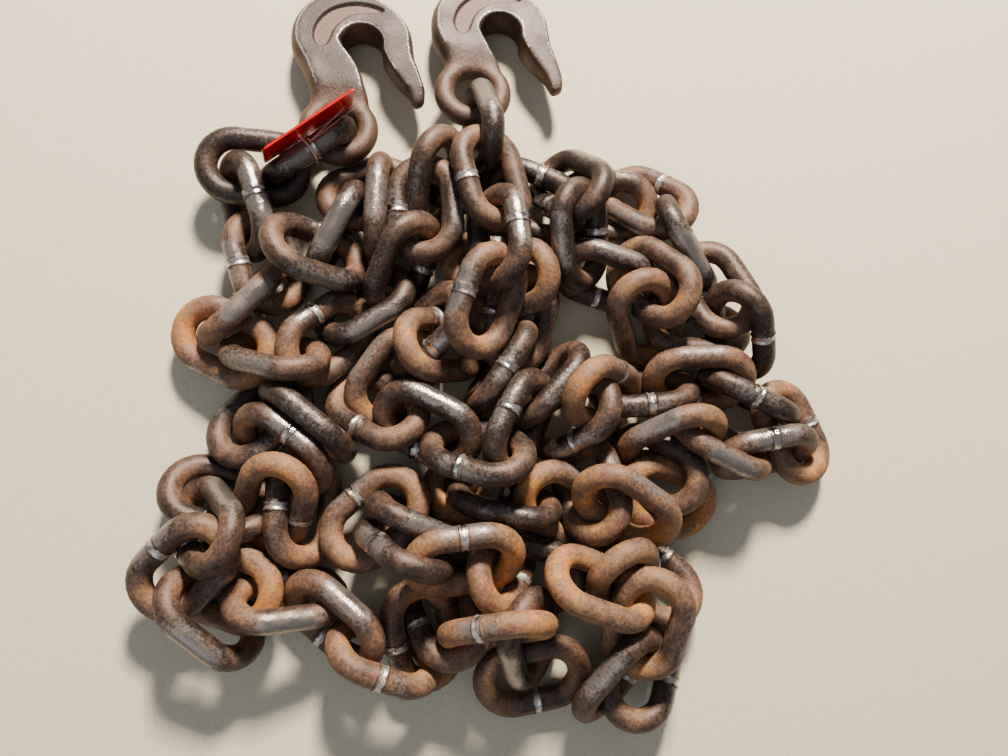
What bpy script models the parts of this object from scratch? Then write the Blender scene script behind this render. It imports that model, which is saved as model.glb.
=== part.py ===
"""A heap of welded steel chain with a forged eye hook on each end.

Frame: +Z up, the photographer's side is -Y, +X to the right of the picture, all in metres.
The heap lies on the floor z = 0 with the middle of its box over the origin.

How it is made: every link is read from the picture as a pose (two end points, a height and a roll),
then the links are threaded and pushed apart until no wire cuts another, as a real heap settles.
Each link is then a bent, closed, round bar, and links that bear on each other form one run.
"""
import math

import bmesh
import bpy
import numpy as np
from mathutils import Vector

# Sizes
WIRE = 0.016                    # chain wire, 5/8 in
PITCH = 0.048                   # inside length of a link
INSIDE_WIDTH = 0.0225           # inside width of a link
END_X = (PITCH + WIRE) / 2      # wire axis at the end of a link
BEND = (INSIDE_WIDTH + WIRE) / 2
BEND_X = END_X - BEND
LINK_TIP = END_X + WIRE / 2     # outermost point of a link's end

BEND_STATIONS = 6               # sections in each end bend
WIRE_SIDES = 7
WIRE_R = 0.0081                 # corner radius of the sided wire
GAP = 0.0003                    # between wires of different runs
CLEAR = 2 * WIRE_R + GAP
BITE = 0.0139                   # between wire axes where two links of one run bear on each other

CAMERA_HEIGHT = 0.543           # over the floor; end points are read as seen from there
RAISED_BAR = 0.010              # how far the upper bar of a rolled link stands over its axis, at most

EYE_HOLE_R = 0.0136
EYE_OUTER_R = 0.0285
EYE_THICK = 0.0155
EYE_R = (EYE_HOLE_R + EYE_OUTER_R) / 2
EYE_Z = 0.025                   # the eye is held up by the link that runs under it
HOOK_THICK = 0.025
BOWL_FAR = 0.045                # from the throat's middle to the far side of the bowl
HOOK_EYES = ((-0.0628, 0.2656), (0.0340, 0.2990))
THROAT_FROM_EYE = ((0.0155, 0.0668), (0.0213, 0.0487))
RECESS_DEPTH = 0.0025
CHEEK = 0.77                    # flat part of a section's width

# Sections of a hook in its own plane, from the middle of the throat, in millimetres:
# inner edge (x, y), outer edge (x, y), thickness.
SHANK_LEFT = ((6, -49.3, -37, -49.3, 13.5), (5.2, -41.5, -36.5, -41.5, 19), (3, -34, -38, -34, 24),
              (-2.5, -18, -44, -18, 25))
SHANK_RIGHT = ((0.2, -31.2, -42.8, -31.2, 13.5), (-2, -23.5, -42.5, -23.5, 19), (-7.5, -15, -46.5, -15, 24))
BOWL_IN = 14.3
BOWL_OUT = ((180, 52), (157.5, 55), (135, 55), (112.5, 51), (90, 45), (67.5, 41.5), (45, 39.5),
            (22.5, 38.5), (0, 37.5))
POINT = ((14.3, -5, 38, -3, 24.5), (18, -13.5, 38.6, -8, 23), (22.8, -21.5, 40.8, -14, 20.5),
         (30, -30.7, 44, -24, 17), (35, -38, 46.3, -32.5, 14), (37.2, -44.5, 46.2, -40.5, 10))
# the crescent recess on the upper cheek, outer edge and then back along the inner one
RECESS = ((-27, -8), (-32.5, -1), (-34.5, 7), (-30.5, 16.5), (-22.5, 25), (-10, 29.3), (3, 29.6), (14.5, 26.2),
          (13, 23.6), (3, 23.4), (-6.5, 21.6), (-14, 16.2), (-19.5, 8.5), (-21.8, 0), (-23.5, -6.5))

TAG_LENGTH = 0.074
TAG_HEIGHT = 0.036
TAG_THICK = 0.0015
TAG_CORNER = 0.004
TAG_FOOT = 0.0095               # lower edge over the link's middle, clear of the eye and the next link
TAG_OFF = 0.0005                # from the link it leans on
TAG_SHIFT = -0.006              # along that link
TAG_HOLE_R = 0.0024
TIE_R = 0.0009
TIE_ROUND = 0.0102              # the tie's axis round the bar
TIE_THROUGH = 0.0042            # the hole over the bar's axis
TIE_SHIFT = 0.002

# Every link as read from the picture, strand by strand, in millimetres and degrees:
# end 1 (x, y, height), end 2 (x, y, height), roll. A roll of 0 has the opening facing up;
# a positive one has the bar on the left (going from end 1 to end 2) raised.
STRANDS = (
    # from the left hook, round the left side, across the back and down the right side
    ((-56, 277, 30, -121, 249, 32, 80), (-86, 247, 12, -156, 237, 26, -35),
     (-132, 253, 34, -109, 181, 20, 75), (-122, 214, 9, -118, 138, 9, 10),
     (-107, 178, 38, -139, 126, 12, 80), (-159, 138, 24, -92, 106, 22, -20),
     (-138, 110, 12, -64, 90, 20, -10), (-107, 98, 26, -43, 140, 42, 35),
     (-80, 118, 22, -17, 168, 30, -25), (-42, 140, 44, -3, 213, 56, 35),
     (-8, 186, 50, 8, 248, 46, -35), (0, 207, 44, 6, 273, 40, 50),
     (5, 257, 12, 68, 242, 10, 50), (42, 236, 12, 106, 241, 22, 80),
     (74, 248, 24, 147, 218, 40, 20), (121, 236, 36, 110, 160, 26, -35),
     (118, 169, 34, 169, 172, 40, 75), (141, 184, 36, 211, 142, 44, 25),
     (180, 165, 40, 158, 120, 14, -30), (190, 112, 10, 263, 110, 12, 15),
     (249, 119, 30, 205, 133, 34, 80), (228, 124, 26, 194, 181, 24, -30),
     (203, 152, 22, 171, 217, 30, 60), (193, 192, 24, 140, 247, 20, -25),
     (171, 226, 28, 90, 214, 14, -20)),
    # from the right hook down the middle
    ((37, 318, 20, 52, 238, 34, -70), (44, 272, 34, 66, 200, 44, -25),
     (58, 228, 44, 68, 141, 48, 60), (56, 172, 36, 42, 90, 26, -55)),
    # back from the middle
    ((57, 58, 22, 60, 122, 30, 60), (70, 98, 20, 79, 166, 34, -60),
     (104, 164, 26, 32, 176, 20, 0), (88, 163, 34, 8, 167, 14, 70)),
    # under the right hook's strand
    ((-34, 196, 24, -12, 246, 40, 55), (-12, 232, 14, -69, 216, 36, -20),
     (-43, 225, 44, -90, 177, 34, 75), (-101, 184, 32, -36, 166, 30, -20)),
    # through the middle of the heap
    ((-18, 98, 22, 34, 122, 40, -35), (2, 94, 18, 7, 150, 34, 50),
     (-9, 125, 40, -42, 78, 16, -45), (-60, 84, 24, 5, 56, 38, -45),
     (-29, 68, 44, 47, 50, 48, 10), (3, 52, 46, 78, 30, 36, -40),
     (46, 33, 38, 99, 75, 46, 50), (71, 68, 20, 110, 103, 22, -40)),
    # the right side
    ((84, 50, 12, 120, 83, 34, -50), (87, 82, 30, 163, 84, 32, 35),
     (131, 76, 34, 196, 86, 24, -45), (167, 97, 30, 245, 96, 30, 50),
     (213, 94, 20, 269, 60, 26, 45), (241, 80, 12, 293, 27, 12, 5),
     (283, 45, 26, 217, 42, 34, -50), (249, 21, 24, 198, 50, 40, 45),
     (219, 67, 44, 139, 40, 34, -50), (200, 30, 20, 138, 8, 12, -10),
     (141, 34, 42, 204, -22, 42, 55)),
    # in front of the right side
    ((173, -25, 38, 110, 13, 44, -65), (128, 42, 34, 108, -32, 14, 0),
     (121, -2, 22, 62, -6, 22, -45), (102, -14, 42, 30, -18, 34, 60),
     (31, -19, 14, 60, 46, 10, 0)),
    # the front
    ((183, -82, 12, 134, -24, 18, -15), (133, -25, 44, 146, -64, 10, -20),
     (93, -69, 26, 170, -52, 34, -35), (172, -42, 22, 132, -106, 34, 45),
     (156, -82, 26, 116, -124, 22, -35), (141, -149, 14, 158, -82, 10, 0)),
    # the front, the left side and back to the middle
    ((108, -100, 10, 36, -96, 9, -10), (72, -102, 20, 66, -34, 26, 30),
     (87, -60, 46, 8, -70, 46, 80), (-3, -36, 18, 36, -104, 26, 10),
     (24, -100, 9, -48, -74, 9, 5), (0, -107, 12, -45, -76, 30, 70),
     (-17, -71, 34, -88, -58, 36, -50), (-62, -67, 30, -136, -66, 26, 45),
     (-103, -72, 20, -152, -40, 18, -40), (-100, -76, 9, -175, -46, 9, 5),
     (-166, -60, 22, -123, -19, 24, 60), (-108, -46, 26, -150, 10, 34, -40),
     (-177, 1, 14, -100, 4, 10, 5), (-104, -40, 9, -100, 38, 34, 0),
     (-84, -36, 30, -78, 38, 9, 25), (-67, 21, 26, -132, 55, 30, -50),
     (-131, 29, 20, -104, 96, 14, 0), (-100, 94, 12, -50, 37, 16, 65)),
    # the front's middle
    ((39, -31, 28, -30, -8, 36, 65), (4, -10, 26, -62, -22, 16, -30),
     (-46, -12, 34, 17, -61, 40, 70), (14, -44, 34, 60, -75, 8, 60),
     (52, -84, 12, 50, -31, 34, 80), (52, -46, 24, 123, -56, 24, 60)),
)
HOOKED = (0, 25)                # the links in the left and the right eye, counted through all strands

# colours (sRGB 0 to 255), roughness, metallic
RUSTS = (((132, 92, 66), 0.85, 0.35), ((112, 84, 70), 0.8, 0.4), ((142, 98, 62), 0.88, 0.3),
         ((98, 76, 68), 0.78, 0.45), ((124, 96, 80), 0.75, 0.5))
FORGED = ((143, 133, 128), 0.7, 0.6)
TAG_RED = ((196, 18, 22), 0.35, 0.0)
TIE_CLEAR = ((196, 190, 184), 0.3, 0.0)

# how the heap is settled
STEPS = 1300
HOLD_UNTIL = 0.7                # part of the steps in which the read poses still pull
HOLD = 0.06
HOLD_LEAST = 0.03
HOLD_HEIGHT = 0.3
SINK = 0.0002                   # weight: how far a link sinks in a step
SINK_UNTIL = 0.75
LIFT_UNTIL = 0.35               # part of the steps in which links give way upward more than sideways
LIFT_SIDE = 0.25
TURN_MASS = 0.00055             # a link's resistance to turning, per unit mass
NEAR = 0.088


# Vectors in rows
def total(v):
    return v[..., 0] + v[..., 1] + v[..., 2]


def unit(v):
    return v / np.sqrt(total(v * v))[..., None]


def cross(u, v):
    return np.stack([u[..., 1] * v[..., 2] - u[..., 2] * v[..., 1],
                     u[..., 2] * v[..., 0] - u[..., 0] * v[..., 2],
                     u[..., 0] * v[..., 1] - u[..., 1] * v[..., 0]], -1)


# The links as read
def link_loop():
    """The wire axis of a link as a closed polygon in its own plane, x along the link."""
    step = math.pi / (BEND_STATIONS - 1)
    radius = BEND * 2 / (1 + math.cos(step / 2))
    points = []
    for side in (1, -1):
        for k in range(BEND_STATIONS):
            t = -math.pi / 2 + step * k
            points.append((side * (BEND_X + radius * math.cos(t)), side * radius * math.sin(t)))
    return np.array(points)


LOOP = link_loop()
STATIONS = len(LOOP)


class Reading:
    """The poses read from the picture, kept as seen points so that height can change."""

    def __init__(self):
        rows = [row for strand in STRANDS for row in strand]
        self.strand = [s for s, strand in enumerate(STRANDS) for _ in strand]
        table = np.array(rows, float)
        self.seen1 = table[:, 0:2] / 1000
        self.seen2 = table[:, 3:5] / 1000
        self.height1 = table[:, 2] / 1000
        self.height2 = table[:, 5] / 1000
        roll = [math.radians(row[6]) for row in rows]
        self.cos = np.array([math.cos(r) for r in roll])
        self.sin = np.array([math.sin(r) for r in roll])

    def pose(self, z1, z2):
        """Centres and axes (along, across, through the opening) with the ends at heights z1, z2."""
        lift = RAISED_BAR * np.abs(self.sin)
        end1 = self.seen1 * (1 - (z1 + lift) / CAMERA_HEIGHT)[:, None]
        end2 = self.seen2 * (1 - (z2 + lift) / CAMERA_HEIGHT)[:, None]
        t1 = np.stack([end1[:, 0], end1[:, 1], z1], 1)
        t2 = np.stack([end2[:, 0], end2[:, 1], z2], 1)
        along = unit(t2 - t1)
        left = unit(np.stack([-along[:, 1], along[:, 0], 0 * z1], 1))
        across = self.cos[:, None] * left + self.sin[:, None] * cross(along, left)
        return (t1 + t2) / 2, np.stack([along, across, cross(along, across)], 1)


def wire_axes(centre, axes):
    """Every link's wire axis as a closed polygon in space."""
    return (centre[:, None, :] + LOOP[None, :, 0, None] * axes[:, None, 0, :]
            + LOOP[None, :, 1, None] * axes[:, None, 1, :])


def hook_point(hook, x, y, z):
    """A point of a hook, given from the middle of its eye, as it lies: eye end up on the chain."""
    far = THROAT_FROM_EYE[hook][1] + BOWL_FAR
    sine = (EYE_Z - HOOK_THICK / 2) / far
    cosine = math.sqrt(1 - sine * sine)
    eye_x, eye_y = HOOK_EYES[hook]
    return (eye_x + x, eye_y + y * cosine + z * sine, EYE_Z - y * sine + z * cosine)


def eye_axis(hook):
    """The wall axis of a hook's eye as a closed polygon in space."""
    turns = [2 * math.pi * (k + 0.5) / STATIONS for k in range(STATIONS)]
    return np.array([hook_point(hook, EYE_R * math.cos(t), EYE_R * math.sin(t), 0) for t in turns])


def runs_of(strand):
    """Two links to a run, three in the last run of a strand with an odd number."""
    runs = []
    start = 0
    for s in sorted(set(strand)):
        stop = start + strand.count(s)
        while start < stop:
            size = 3 if stop - start == 3 else 2
            runs.append(list(range(start, start + size)))
            start += size
    return runs


# Settling
def passes(loops, centre, axes):
    """How often, with sign, each closed polygon passes through the opening of the link beside it."""
    rel = loops - centre[:, None, :]
    u = total(rel * axes[:, None, 0, :])
    v = total(rel * axes[:, None, 1, :])
    w = total(rel * axes[:, None, 2, :])
    u2, v2, w2 = (np.roll(q, -1, 1) for q in (u, v, w))
    hit = (w > 0) != (w2 > 0)
    f = np.where(hit, w / np.where(hit, w - w2, 1.0), 0.0)
    x = np.abs(u + f * (u2 - u))
    y = v + f * (v2 - v)
    past = x - np.minimum(x, BEND_X)
    inside = hit & (past * past + y * y < BEND * BEND)
    return (inside * np.where(w > 0, 1, -1)).sum(1)


def closest(p1, q1, p2, q2):
    """The nearest points of two rows of straight segments."""
    d1, d2, r = q1 - p1, q2 - p2, p1 - p2
    a, e, f = total(d1 * d1), total(d2 * d2), total(d2 * r)
    c, b = total(d1 * r), total(d1 * d2)
    den = a * e - b * b
    s = np.where(den > 1e-14, np.clip((b * f - c * e) / np.maximum(den, 1e-14), 0, 1), 0.5)
    t = np.clip((b * s + f) / e, 0, 1)
    s = np.clip((b * t - c) / a, 0, 1)
    return p1 + d1 * s[:, None], p2 + d2 * t[:, None]


def turned(axes, w):
    """The links' axes after the small rotations w."""
    out = axes + cross(np.broadcast_to(w[:, None, :], axes.shape), axes)
    along = unit(out[:, 0])
    across = out[:, 1] - along * total(out[:, 1] * along)[:, None]
    across = unit(across)
    return np.stack([along, across, cross(along, across)], 1)


class Pairs:
    """Which links lie near each other, and where their wires could touch."""

    def __init__(self, strand, joined):
        n = len(strand)
        pairs = [(i, j) for i in range(n) for j in range(i + 1, n)]
        self.all = np.array(pairs)
        self.chained = np.array([j == i + 1 and strand[i] == strand[j] for i, j in pairs])
        self.joined = np.array([(i, j) in joined for i, j in pairs])
        self.links = n

    def refresh(self, centre, axes, loops, eyes):
        gap = centre[self.all[:, 0]] - centre[self.all[:, 1]]
        near = np.sqrt(total(gap * gap)) < NEAR
        pair, chained, joined = self.all[near], self.chained[near], self.joined[near]
        i, j = pair[:, 0], pair[:, 1]
        one = passes(loops[j], centre[i], axes[i]) != 0
        two = passes(loops[i], centre[j], axes[j]) != 0
        self.unthreaded = pair[chained & ~(one & two)]
        self.tangled = pair[~chained & (one | two)]
        good = np.where(chained, one & two, ~(one | two))
        rows, is_chained, is_joined = [pair[good]], [chained[good]], [joined[good]]
        for q, eye in enumerate(eyes):
            gap = centre - eye.mean(0)
            close = np.nonzero(np.sqrt(total(gap * gap)) < NEAR)[0]
            rows.append(np.stack([close, np.full(len(close), self.links + q)], 1))
            is_chained.append(np.zeros(len(close), bool))
            is_joined.append(np.zeros(len(close), bool))
        self.pair = np.concatenate(rows, 0)
        self.is_chained = np.concatenate(is_chained)
        self.is_joined = np.concatenate(is_joined)
        body = np.concatenate([loops, eyes], 0)
        first, second = body[self.pair[:, 0]], body[self.pair[:, 1]]
        mid1 = (first + np.roll(first, -1, 1)) / 2
        mid2 = (second + np.roll(second, -1, 1)) / 2
        gap = mid1[:, :, None, :] - mid2[:, None, :, :]
        reach = 2 * BEND_X + CLEAR + 0.006
        maybe = (np.sqrt(total(gap * gap)) < reach) | self.is_chained[:, None, None]
        self.row, self.seg1, self.seg2 = np.nonzero(maybe)


def touching(pairs, centre, loops, eyes, phase):
    """Every place where two wires are too near, or where a bearing is not yet made."""
    body = np.concatenate([loops, eyes], 0)
    middle = np.concatenate([centre, eyes.mean(1)], 0)
    i, j = pairs.pair[pairs.row, 0], pairs.pair[pairs.row, 1]
    a, b = pairs.seg1, pairs.seg2
    x1, x2 = closest(body[i, a], body[i, (a + 1) % STATIONS], body[j, b], body[j, (b + 1) % STATIONS])
    apart = x1 - x2
    dist = np.sqrt(total(apart * apart))
    order = np.lexsort((dist, pairs.row))
    first = np.ones(len(order), bool)
    first[1:] = pairs.row[order][1:] != pairs.row[order][:-1]
    nearest = np.zeros(len(order), bool)
    nearest[order[first]] = True
    joined = pairs.is_joined[pairs.row]
    wanted = np.where(joined, BITE, np.where(j >= len(centre), WIRE_R + EYE_THICK / 2 + GAP, CLEAR))
    depth = wanted - dist
    pulled = nearest & joined & (depth < 0)
    loose = nearest & pairs.is_chained[pairs.row] & ~joined & (depth < -0.0002) & (0.3 < phase < 0.9)
    use = (depth > 0) | pulled | loose
    i, j, x1, x2, depth = i[use], j[use], x1[use], x2[use], depth[use]
    way = apart[use] / np.maximum(dist[use], 1e-9)[:, None]
    return i, j, x1 - middle[i], x2 - middle[j], way, np.where(loose[use], 0.3, 1.0) * depth


def nearest_ends(centre, axes, p, q):
    """Which end (1 or -1) of each of two links lies nearest to the other's opening at that end."""
    best = None
    for side_p in (1, -1):
        for side_q in (-1, 1):
            gap = 0.0
            for link, other, side, seat_side in ((p, q, side_p, side_q), (q, p, side_q, side_p)):
                way = (centre[link] + side * END_X * axes[link, 0]
                       - centre[other] - seat_side * (END_X - WIRE) * axes[other, 0])
                gap += math.sqrt(total(way * way))
            if best is None or gap < best[0]:
                best = (gap, side_p, side_q)
    return best[1:]


def settle(reading, eyes):
    """Threads the links of each strand and pushes all wires apart, while their weight pulls down."""
    n = len(reading.strand)
    centre, axes = reading.pose(reading.height1, reading.height2)
    joined = {(run[k], run[k + 1]) for run in runs_of(reading.strand) for k in range(len(run) - 1)}
    pairs = Pairs(reading.strand, joined)
    for step in range(STEPS):
        phase = step / STEPS
        held = phase < HOLD_UNTIL
        loops = wire_axes(centre, axes)
        if step % 4 == 0:
            pairs.refresh(centre, axes, loops, eyes)
        i, j, arm1, arm2, way, depth = touching(pairs, centre, loops, eyes, phase)
        spin1, spin2 = cross(arm1, way), cross(arm2, way)
        give1 = 1 + total(spin1 * spin1) / TURN_MASS
        give2 = np.where(j >= n, 0.0, 1 + total(spin2 * spin2) / TURN_MASS)
        push = (np.clip(depth, -0.004, 0.004) / (give1 + give2))[:, None]
        move, turn, count = np.zeros((n + 2, 3)), np.zeros((n + 2, 3)), np.zeros(n + 2)
        np.add.at(move, i, way * push)
        np.add.at(move, j, -way * push)
        np.add.at(turn, i, spin1 * push / TURN_MASS)
        np.add.at(turn, j, -spin2 * push / TURN_MASS)
        np.add.at(count, i, 1)
        np.add.at(count, j, 1)
        share = np.maximum(1.3 / np.maximum(count, 1), 0.22)[:n, None]
        move, turn = move[:n] * share, turn[:n] * share
        if phase < LIFT_UNTIL:
            move[:, :2] *= LIFT_SIDE
        # the floor
        k, station = np.nonzero(loops[:, :, 2] < WIRE_R)
        arm = loops[k, station] - centre[k]
        spin = np.stack([arm[:, 1], -arm[:, 0], 0 * arm[:, 0]], 1)
        push = 0.5 * (WIRE_R - loops[k, station, 2]) / (1 + total(spin * spin) / TURN_MASS)
        np.add.at(move[:, 2], k, push)
        np.add.at(turn, k, spin * (push / TURN_MASS)[:, None])
        # links of one strand that are not threaded yet are drawn end into opening
        for p, q in pairs.unthreaded:
            side_p, side_q = nearest_ends(centre, axes, p, q)
            for link, other, side, seat_side in ((p, q, side_p, side_q), (q, p, side_q, side_p)):
                tip = centre[link] + side * END_X * axes[link, 0]
                seat = centre[other] + seat_side * (END_X - WIRE) * axes[other, 0]
                move[link] += 0.06 * (seat - tip)
                move[other] -= 0.06 * (seat - tip)
            twist = 0.05 * total(axes[p, 2] * axes[q, 2])
            turn[p] += twist * axes[p, 0]
            turn[q] -= twist * axes[q, 0]
        # links that went through each other by mistake leave by the way up and the way down
        for p, q in pairs.tangled:
            up = 0.0012 if centre[p, 2] >= centre[q, 2] else -0.0012
            move[p, 2] += up
            move[q, 2] -= up
        for link, eye in zip(HOOKED, eyes):
            if passes(eye[None], centre[[link]], axes[[link]])[0] == 0:
                middle = eye.mean(0)
                out = unit(np.array([centre[link, 0] - middle[0], centre[link, 1] - middle[1], 0.0]))
                tip = centre[link] - END_X * axes[link, 0]
                move[link] += 0.12 * (middle - 0.002 * out - tip)
        if phase < SINK_UNTIL:
            move[:, 2] -= SINK
        if held:
            z1 = centre[:, 2] - LINK_TIP * axes[:, 0, 2]
            z2 = centre[:, 2] + LINK_TIP * axes[:, 0, 2]
            z1 = z1 + HOLD_HEIGHT * (reading.height1 - z1)
            z2 = z2 + HOLD_HEIGHT * (reading.height2 - z2)
            read_centre, read_axes = reading.pose(z1, z2)
            hold = HOLD * max(0.0, 1 - phase / HOLD_UNTIL) + HOLD_LEAST
            move += hold * (read_centre - centre)
            turn += hold * (cross(axes[:, 0], read_axes[:, 0]) + cross(axes[:, 1], read_axes[:, 1])) / 2
        length = np.sqrt(total(move * move))[:, None]
        move *= np.minimum(1.0, 0.004 / np.maximum(length, 1e-9))
        length = np.sqrt(total(turn * turn))[:, None]
        turn *= np.minimum(1.0, 0.12 / np.maximum(length, 1e-9))
        centre = np.round(centre + move, 7)
        axes = turned(axes, turn)
    return centre, axes


# Solids
def add_object(name, vertices, faces):
    mesh = bpy.data.meshes.new(name)
    mesh.from_pydata([tuple(map(float, v)) for v in vertices], [], faces)
    mesh.update()
    obj = bpy.data.objects.new(name, mesh)
    bpy.context.scene.collection.objects.link(obj)
    return obj


def tube(name, rings, closed):
    """A solid from rings of points: a closed loop of them, or one with flat ends."""
    count, sides = len(rings), len(rings[0])
    vertices = [p for ring in rings for p in ring]
    faces = []
    for k in range(count if closed else count - 1):
        m = (k + 1) % count
        for s in range(sides):
            t = (s + 1) % sides
            faces.append((k * sides + s, k * sides + t, m * sides + t, m * sides + s))
    if not closed:
        faces.append(tuple(range(sides))[::-1])
        faces.append(tuple((count - 1) * sides + s for s in range(sides)))
    obj = add_object(name, vertices, faces)
    face_outward(obj)
    return obj


def face_outward(obj):
    bm = bmesh.new()
    bm.from_mesh(obj.data)
    bmesh.ops.triangulate(bm, faces=bm.faces[:])
    bmesh.ops.recalc_face_normals(bm, faces=bm.faces[:])
    if bm.calc_volume(signed=True) < 0:
        bmesh.ops.reverse_faces(bm, faces=bm.faces[:])
    bm.to_mesh(obj.data)
    bm.free()


def combine(target, tool, operation):
    """Joins the tool to the target, or cuts it out, and removes the tool."""
    step = target.modifiers.new("combine", "BOOLEAN")
    step.operation = operation
    step.solver = "EXACT"
    step.object = tool
    seen = target.evaluated_get(bpy.context.evaluated_depsgraph_get())
    mesh = bpy.data.meshes.new_from_object(seen)
    old = target.data
    target.modifiers.clear()
    target.data = mesh
    bpy.data.meshes.remove(old)
    bpy.data.objects.remove(tool)
    bm = bmesh.new()
    bm.from_mesh(mesh)
    bmesh.ops.remove_doubles(bm, verts=bm.verts[:], dist=0.000002)
    bmesh.ops.triangulate(bm, faces=bm.faces[:])
    drop_pockets(bm)
    bm.to_mesh(mesh)
    bm.free()


def drop_pockets(bm):
    """Fills the small closed pockets that stay where two round bars meet."""
    seen = set()
    shells = []
    for start in bm.verts:
        if start in seen:
            continue
        seen.add(start)
        shell = [start]
        for v in shell:
            for edge in v.link_edges:
                other = edge.other_vert(v)
                if other not in seen:
                    seen.add(other)
                    shell.append(other)
        shells.append(shell)
    shells.sort(key=len)
    for shell in shells[:-1]:
        bmesh.ops.delete(bm, geom=shell, context="VERTS")


def link_solid(name, centre, axes):
    """One link: the sided wire swept round its loop."""
    along, across, through = axes
    rings = []
    for k in range(STATIONS):
        before, here, after = LOOP[k - 1], LOOP[k], LOOP[(k + 1) % STATIONS]
        d1 = (here - before) / math.hypot(*(here - before))
        d2 = (after - here) / math.hypot(*(after - here))
        way = (d1 + d2) / math.hypot(*(d1 + d2))
        inward = np.array([-way[1], way[0]])
        ring = []
        for s in range(WIRE_SIDES):
            t = 2 * math.pi * s / WIRE_SIDES
            flat = here + WIRE_R * math.cos(t) * inward
            ring.append(centre + flat[0] * along + flat[1] * across + WIRE_R * math.sin(t) * through)
        rings.append(ring)
    return tube(name, rings, True)


def hook_solid(hook):
    """The forged hook: shank, bowl and point in one sweep, the eye joined on, the recess cut in."""
    throat_x, throat_y = THROAT_FROM_EYE[hook]
    bowl = [(BOWL_IN * math.cos(math.radians(t)), BOWL_IN * math.sin(math.radians(t)),
             r * math.cos(math.radians(t)), r * math.sin(math.radians(t)), HOOK_THICK * 1000)
            for t, r in BOWL_OUT]
    edge = ((1, 0), (0.94, 0.56), (CHEEK, 1), (-CHEEK, 1), (-0.94, 0.56),
            (-1, 0), (-0.94, -0.56), (-CHEEK, -1), (CHEEK, -1), (0.94, -0.56))
    rings = []
    for x1, y1, x2, y2, thick in (SHANK_LEFT, SHANK_RIGHT)[hook] + tuple(bowl) + POINT:
        ring = []
        for w, h in edge:
            x = throat_x + ((x1 + x2) / 2 + w * (x2 - x1) / 2) / 1000
            y = throat_y + ((y1 + y2) / 2 + w * (y2 - y1) / 2) / 1000
            ring.append(hook_point(hook, x, y, h * thick / 2000))
        rings.append(ring)
    body = tube(("hook_left", "hook_right")[hook], rings, False)

    wall = (EYE_OUTER_R - EYE_HOLE_R) / 2
    rings = []
    for k in range(20):
        t = 2 * math.pi * k / 20
        ring = []
        for s in range(8):
            u = 2 * math.pi * s / 8
            r = EYE_R + wall * math.cos(u)
            ring.append(hook_point(hook, r * math.cos(t), r * math.sin(t), EYE_THICK / 2 * math.sin(u)))
        rings.append(ring)
    combine(body, tube("eye", rings, True), "UNION")

    top = HOOK_THICK / 2
    rings = [[hook_point(hook, throat_x + x / 1000, throat_y + y / 1000, z) for x, y in RECESS]
             for z in (top - RECESS_DEPTH, top + 0.002)]
    combine(body, tube("recess", rings, False), "DIFFERENCE")
    return body


def tag_frame(centre, axes):
    """The frame of the link the tag is tied to: its middle, along it, up across it, and to the far side."""
    along = axes[0]
    upward = axes[1] if axes[1][2] > 0 else -axes[1]
    far = cross(along, upward)
    return centre, along, upward, far if far[1] > 0 else -far


def tag_solid(centre, along, upward, far):
    """A thin plate leaning on the far side of the link, with rounded corners and one hole for the tie."""
    off = WIRE_R + TAG_OFF + TAG_THICK / 2
    half, top, foot = TAG_LENGTH / 2 - TAG_CORNER, TAG_FOOT + TAG_HEIGHT - TAG_CORNER, TAG_FOOT + TAG_CORNER
    outline = []
    for x, y, start in ((half, top, 0), (-half, top, 90), (-half, foot, 180), (half, foot, 270)):
        for k in range(4):
            t = math.radians(start + 30 * k)
            outline.append((TAG_SHIFT + x + TAG_CORNER * math.cos(t), y + TAG_CORNER * math.sin(t)))
    turns = [math.radians(45 * k) for k in range(8)]
    hole = [(TIE_SHIFT + TAG_HOLE_R * math.cos(t), BEND + TIE_THROUGH + TAG_HOLE_R * math.sin(t)) for t in turns]

    def layer(points, depth):
        return [centre + x * along + y * upward + (off + depth) * far for x, y in points]

    tag = tube("tag", [layer(outline, -TAG_THICK / 2), layer(outline, TAG_THICK / 2)], False)
    combine(tag, tube("hole", [layer(hole, -TAG_THICK), layer(hole, TAG_THICK)], False), "DIFFERENCE")
    return tag


def tie_solid(centre, along, upward, far):
    """A thin loop round the link's upper bar, out through the tag's hole and back under its lower edge."""
    under = TAG_FOOT - BEND - 0.002
    path = [(TIE_ROUND * math.cos(math.radians(t)), TIE_ROUND * math.sin(math.radians(t)))
            for t in (68, 90, 135, 180, 225, 270)]
    path += [(0.0060, under), (0.0125, under), (0.0142, under + 0.005), (0.0134, TIE_THROUGH - 0.0006),
             (0.0104, TIE_THROUGH), (0.0082, TIE_THROUGH + 0.0002), (0.0072, 0.0072)]
    spot = centre + BEND * upward + TIE_SHIFT * along
    rings = []
    for k in range(len(path)):
        x, y = path[k]
        tangent = Vector(path[(k + 1) % len(path)]) - Vector(path[k - 1])
        tangent.normalize()
        ring = []
        for s in range(5):
            t = 2 * math.pi * s / 5
            out, up = x - TIE_R * math.cos(t) * tangent[1], y + TIE_R * math.cos(t) * tangent[0]
            ring.append(spot + out * far + up * upward + TIE_R * math.sin(t) * along)
        rings.append(ring)
    return tube("tag_tie", rings, True)


def finish(obj, look):
    """Its own material and round shading."""
    colour, rough, metal = look
    material = bpy.data.materials.new(obj.name + "_look")
    material.use_nodes = True
    shader = material.node_tree.nodes["Principled BSDF"]
    shader.inputs["Base Color"].default_value = (*[linear(c) for c in colour], 1)
    shader.inputs["Roughness"].default_value = rough
    shader.inputs["Metallic"].default_value = metal
    material.diffuse_color = (*[linear(c) for c in colour], 1)
    obj.data.materials.clear()
    obj.data.materials.append(material)
    obj.data.shade_smooth()
    obj.data.set_sharp_from_angle(angle=math.radians(58))


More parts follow.
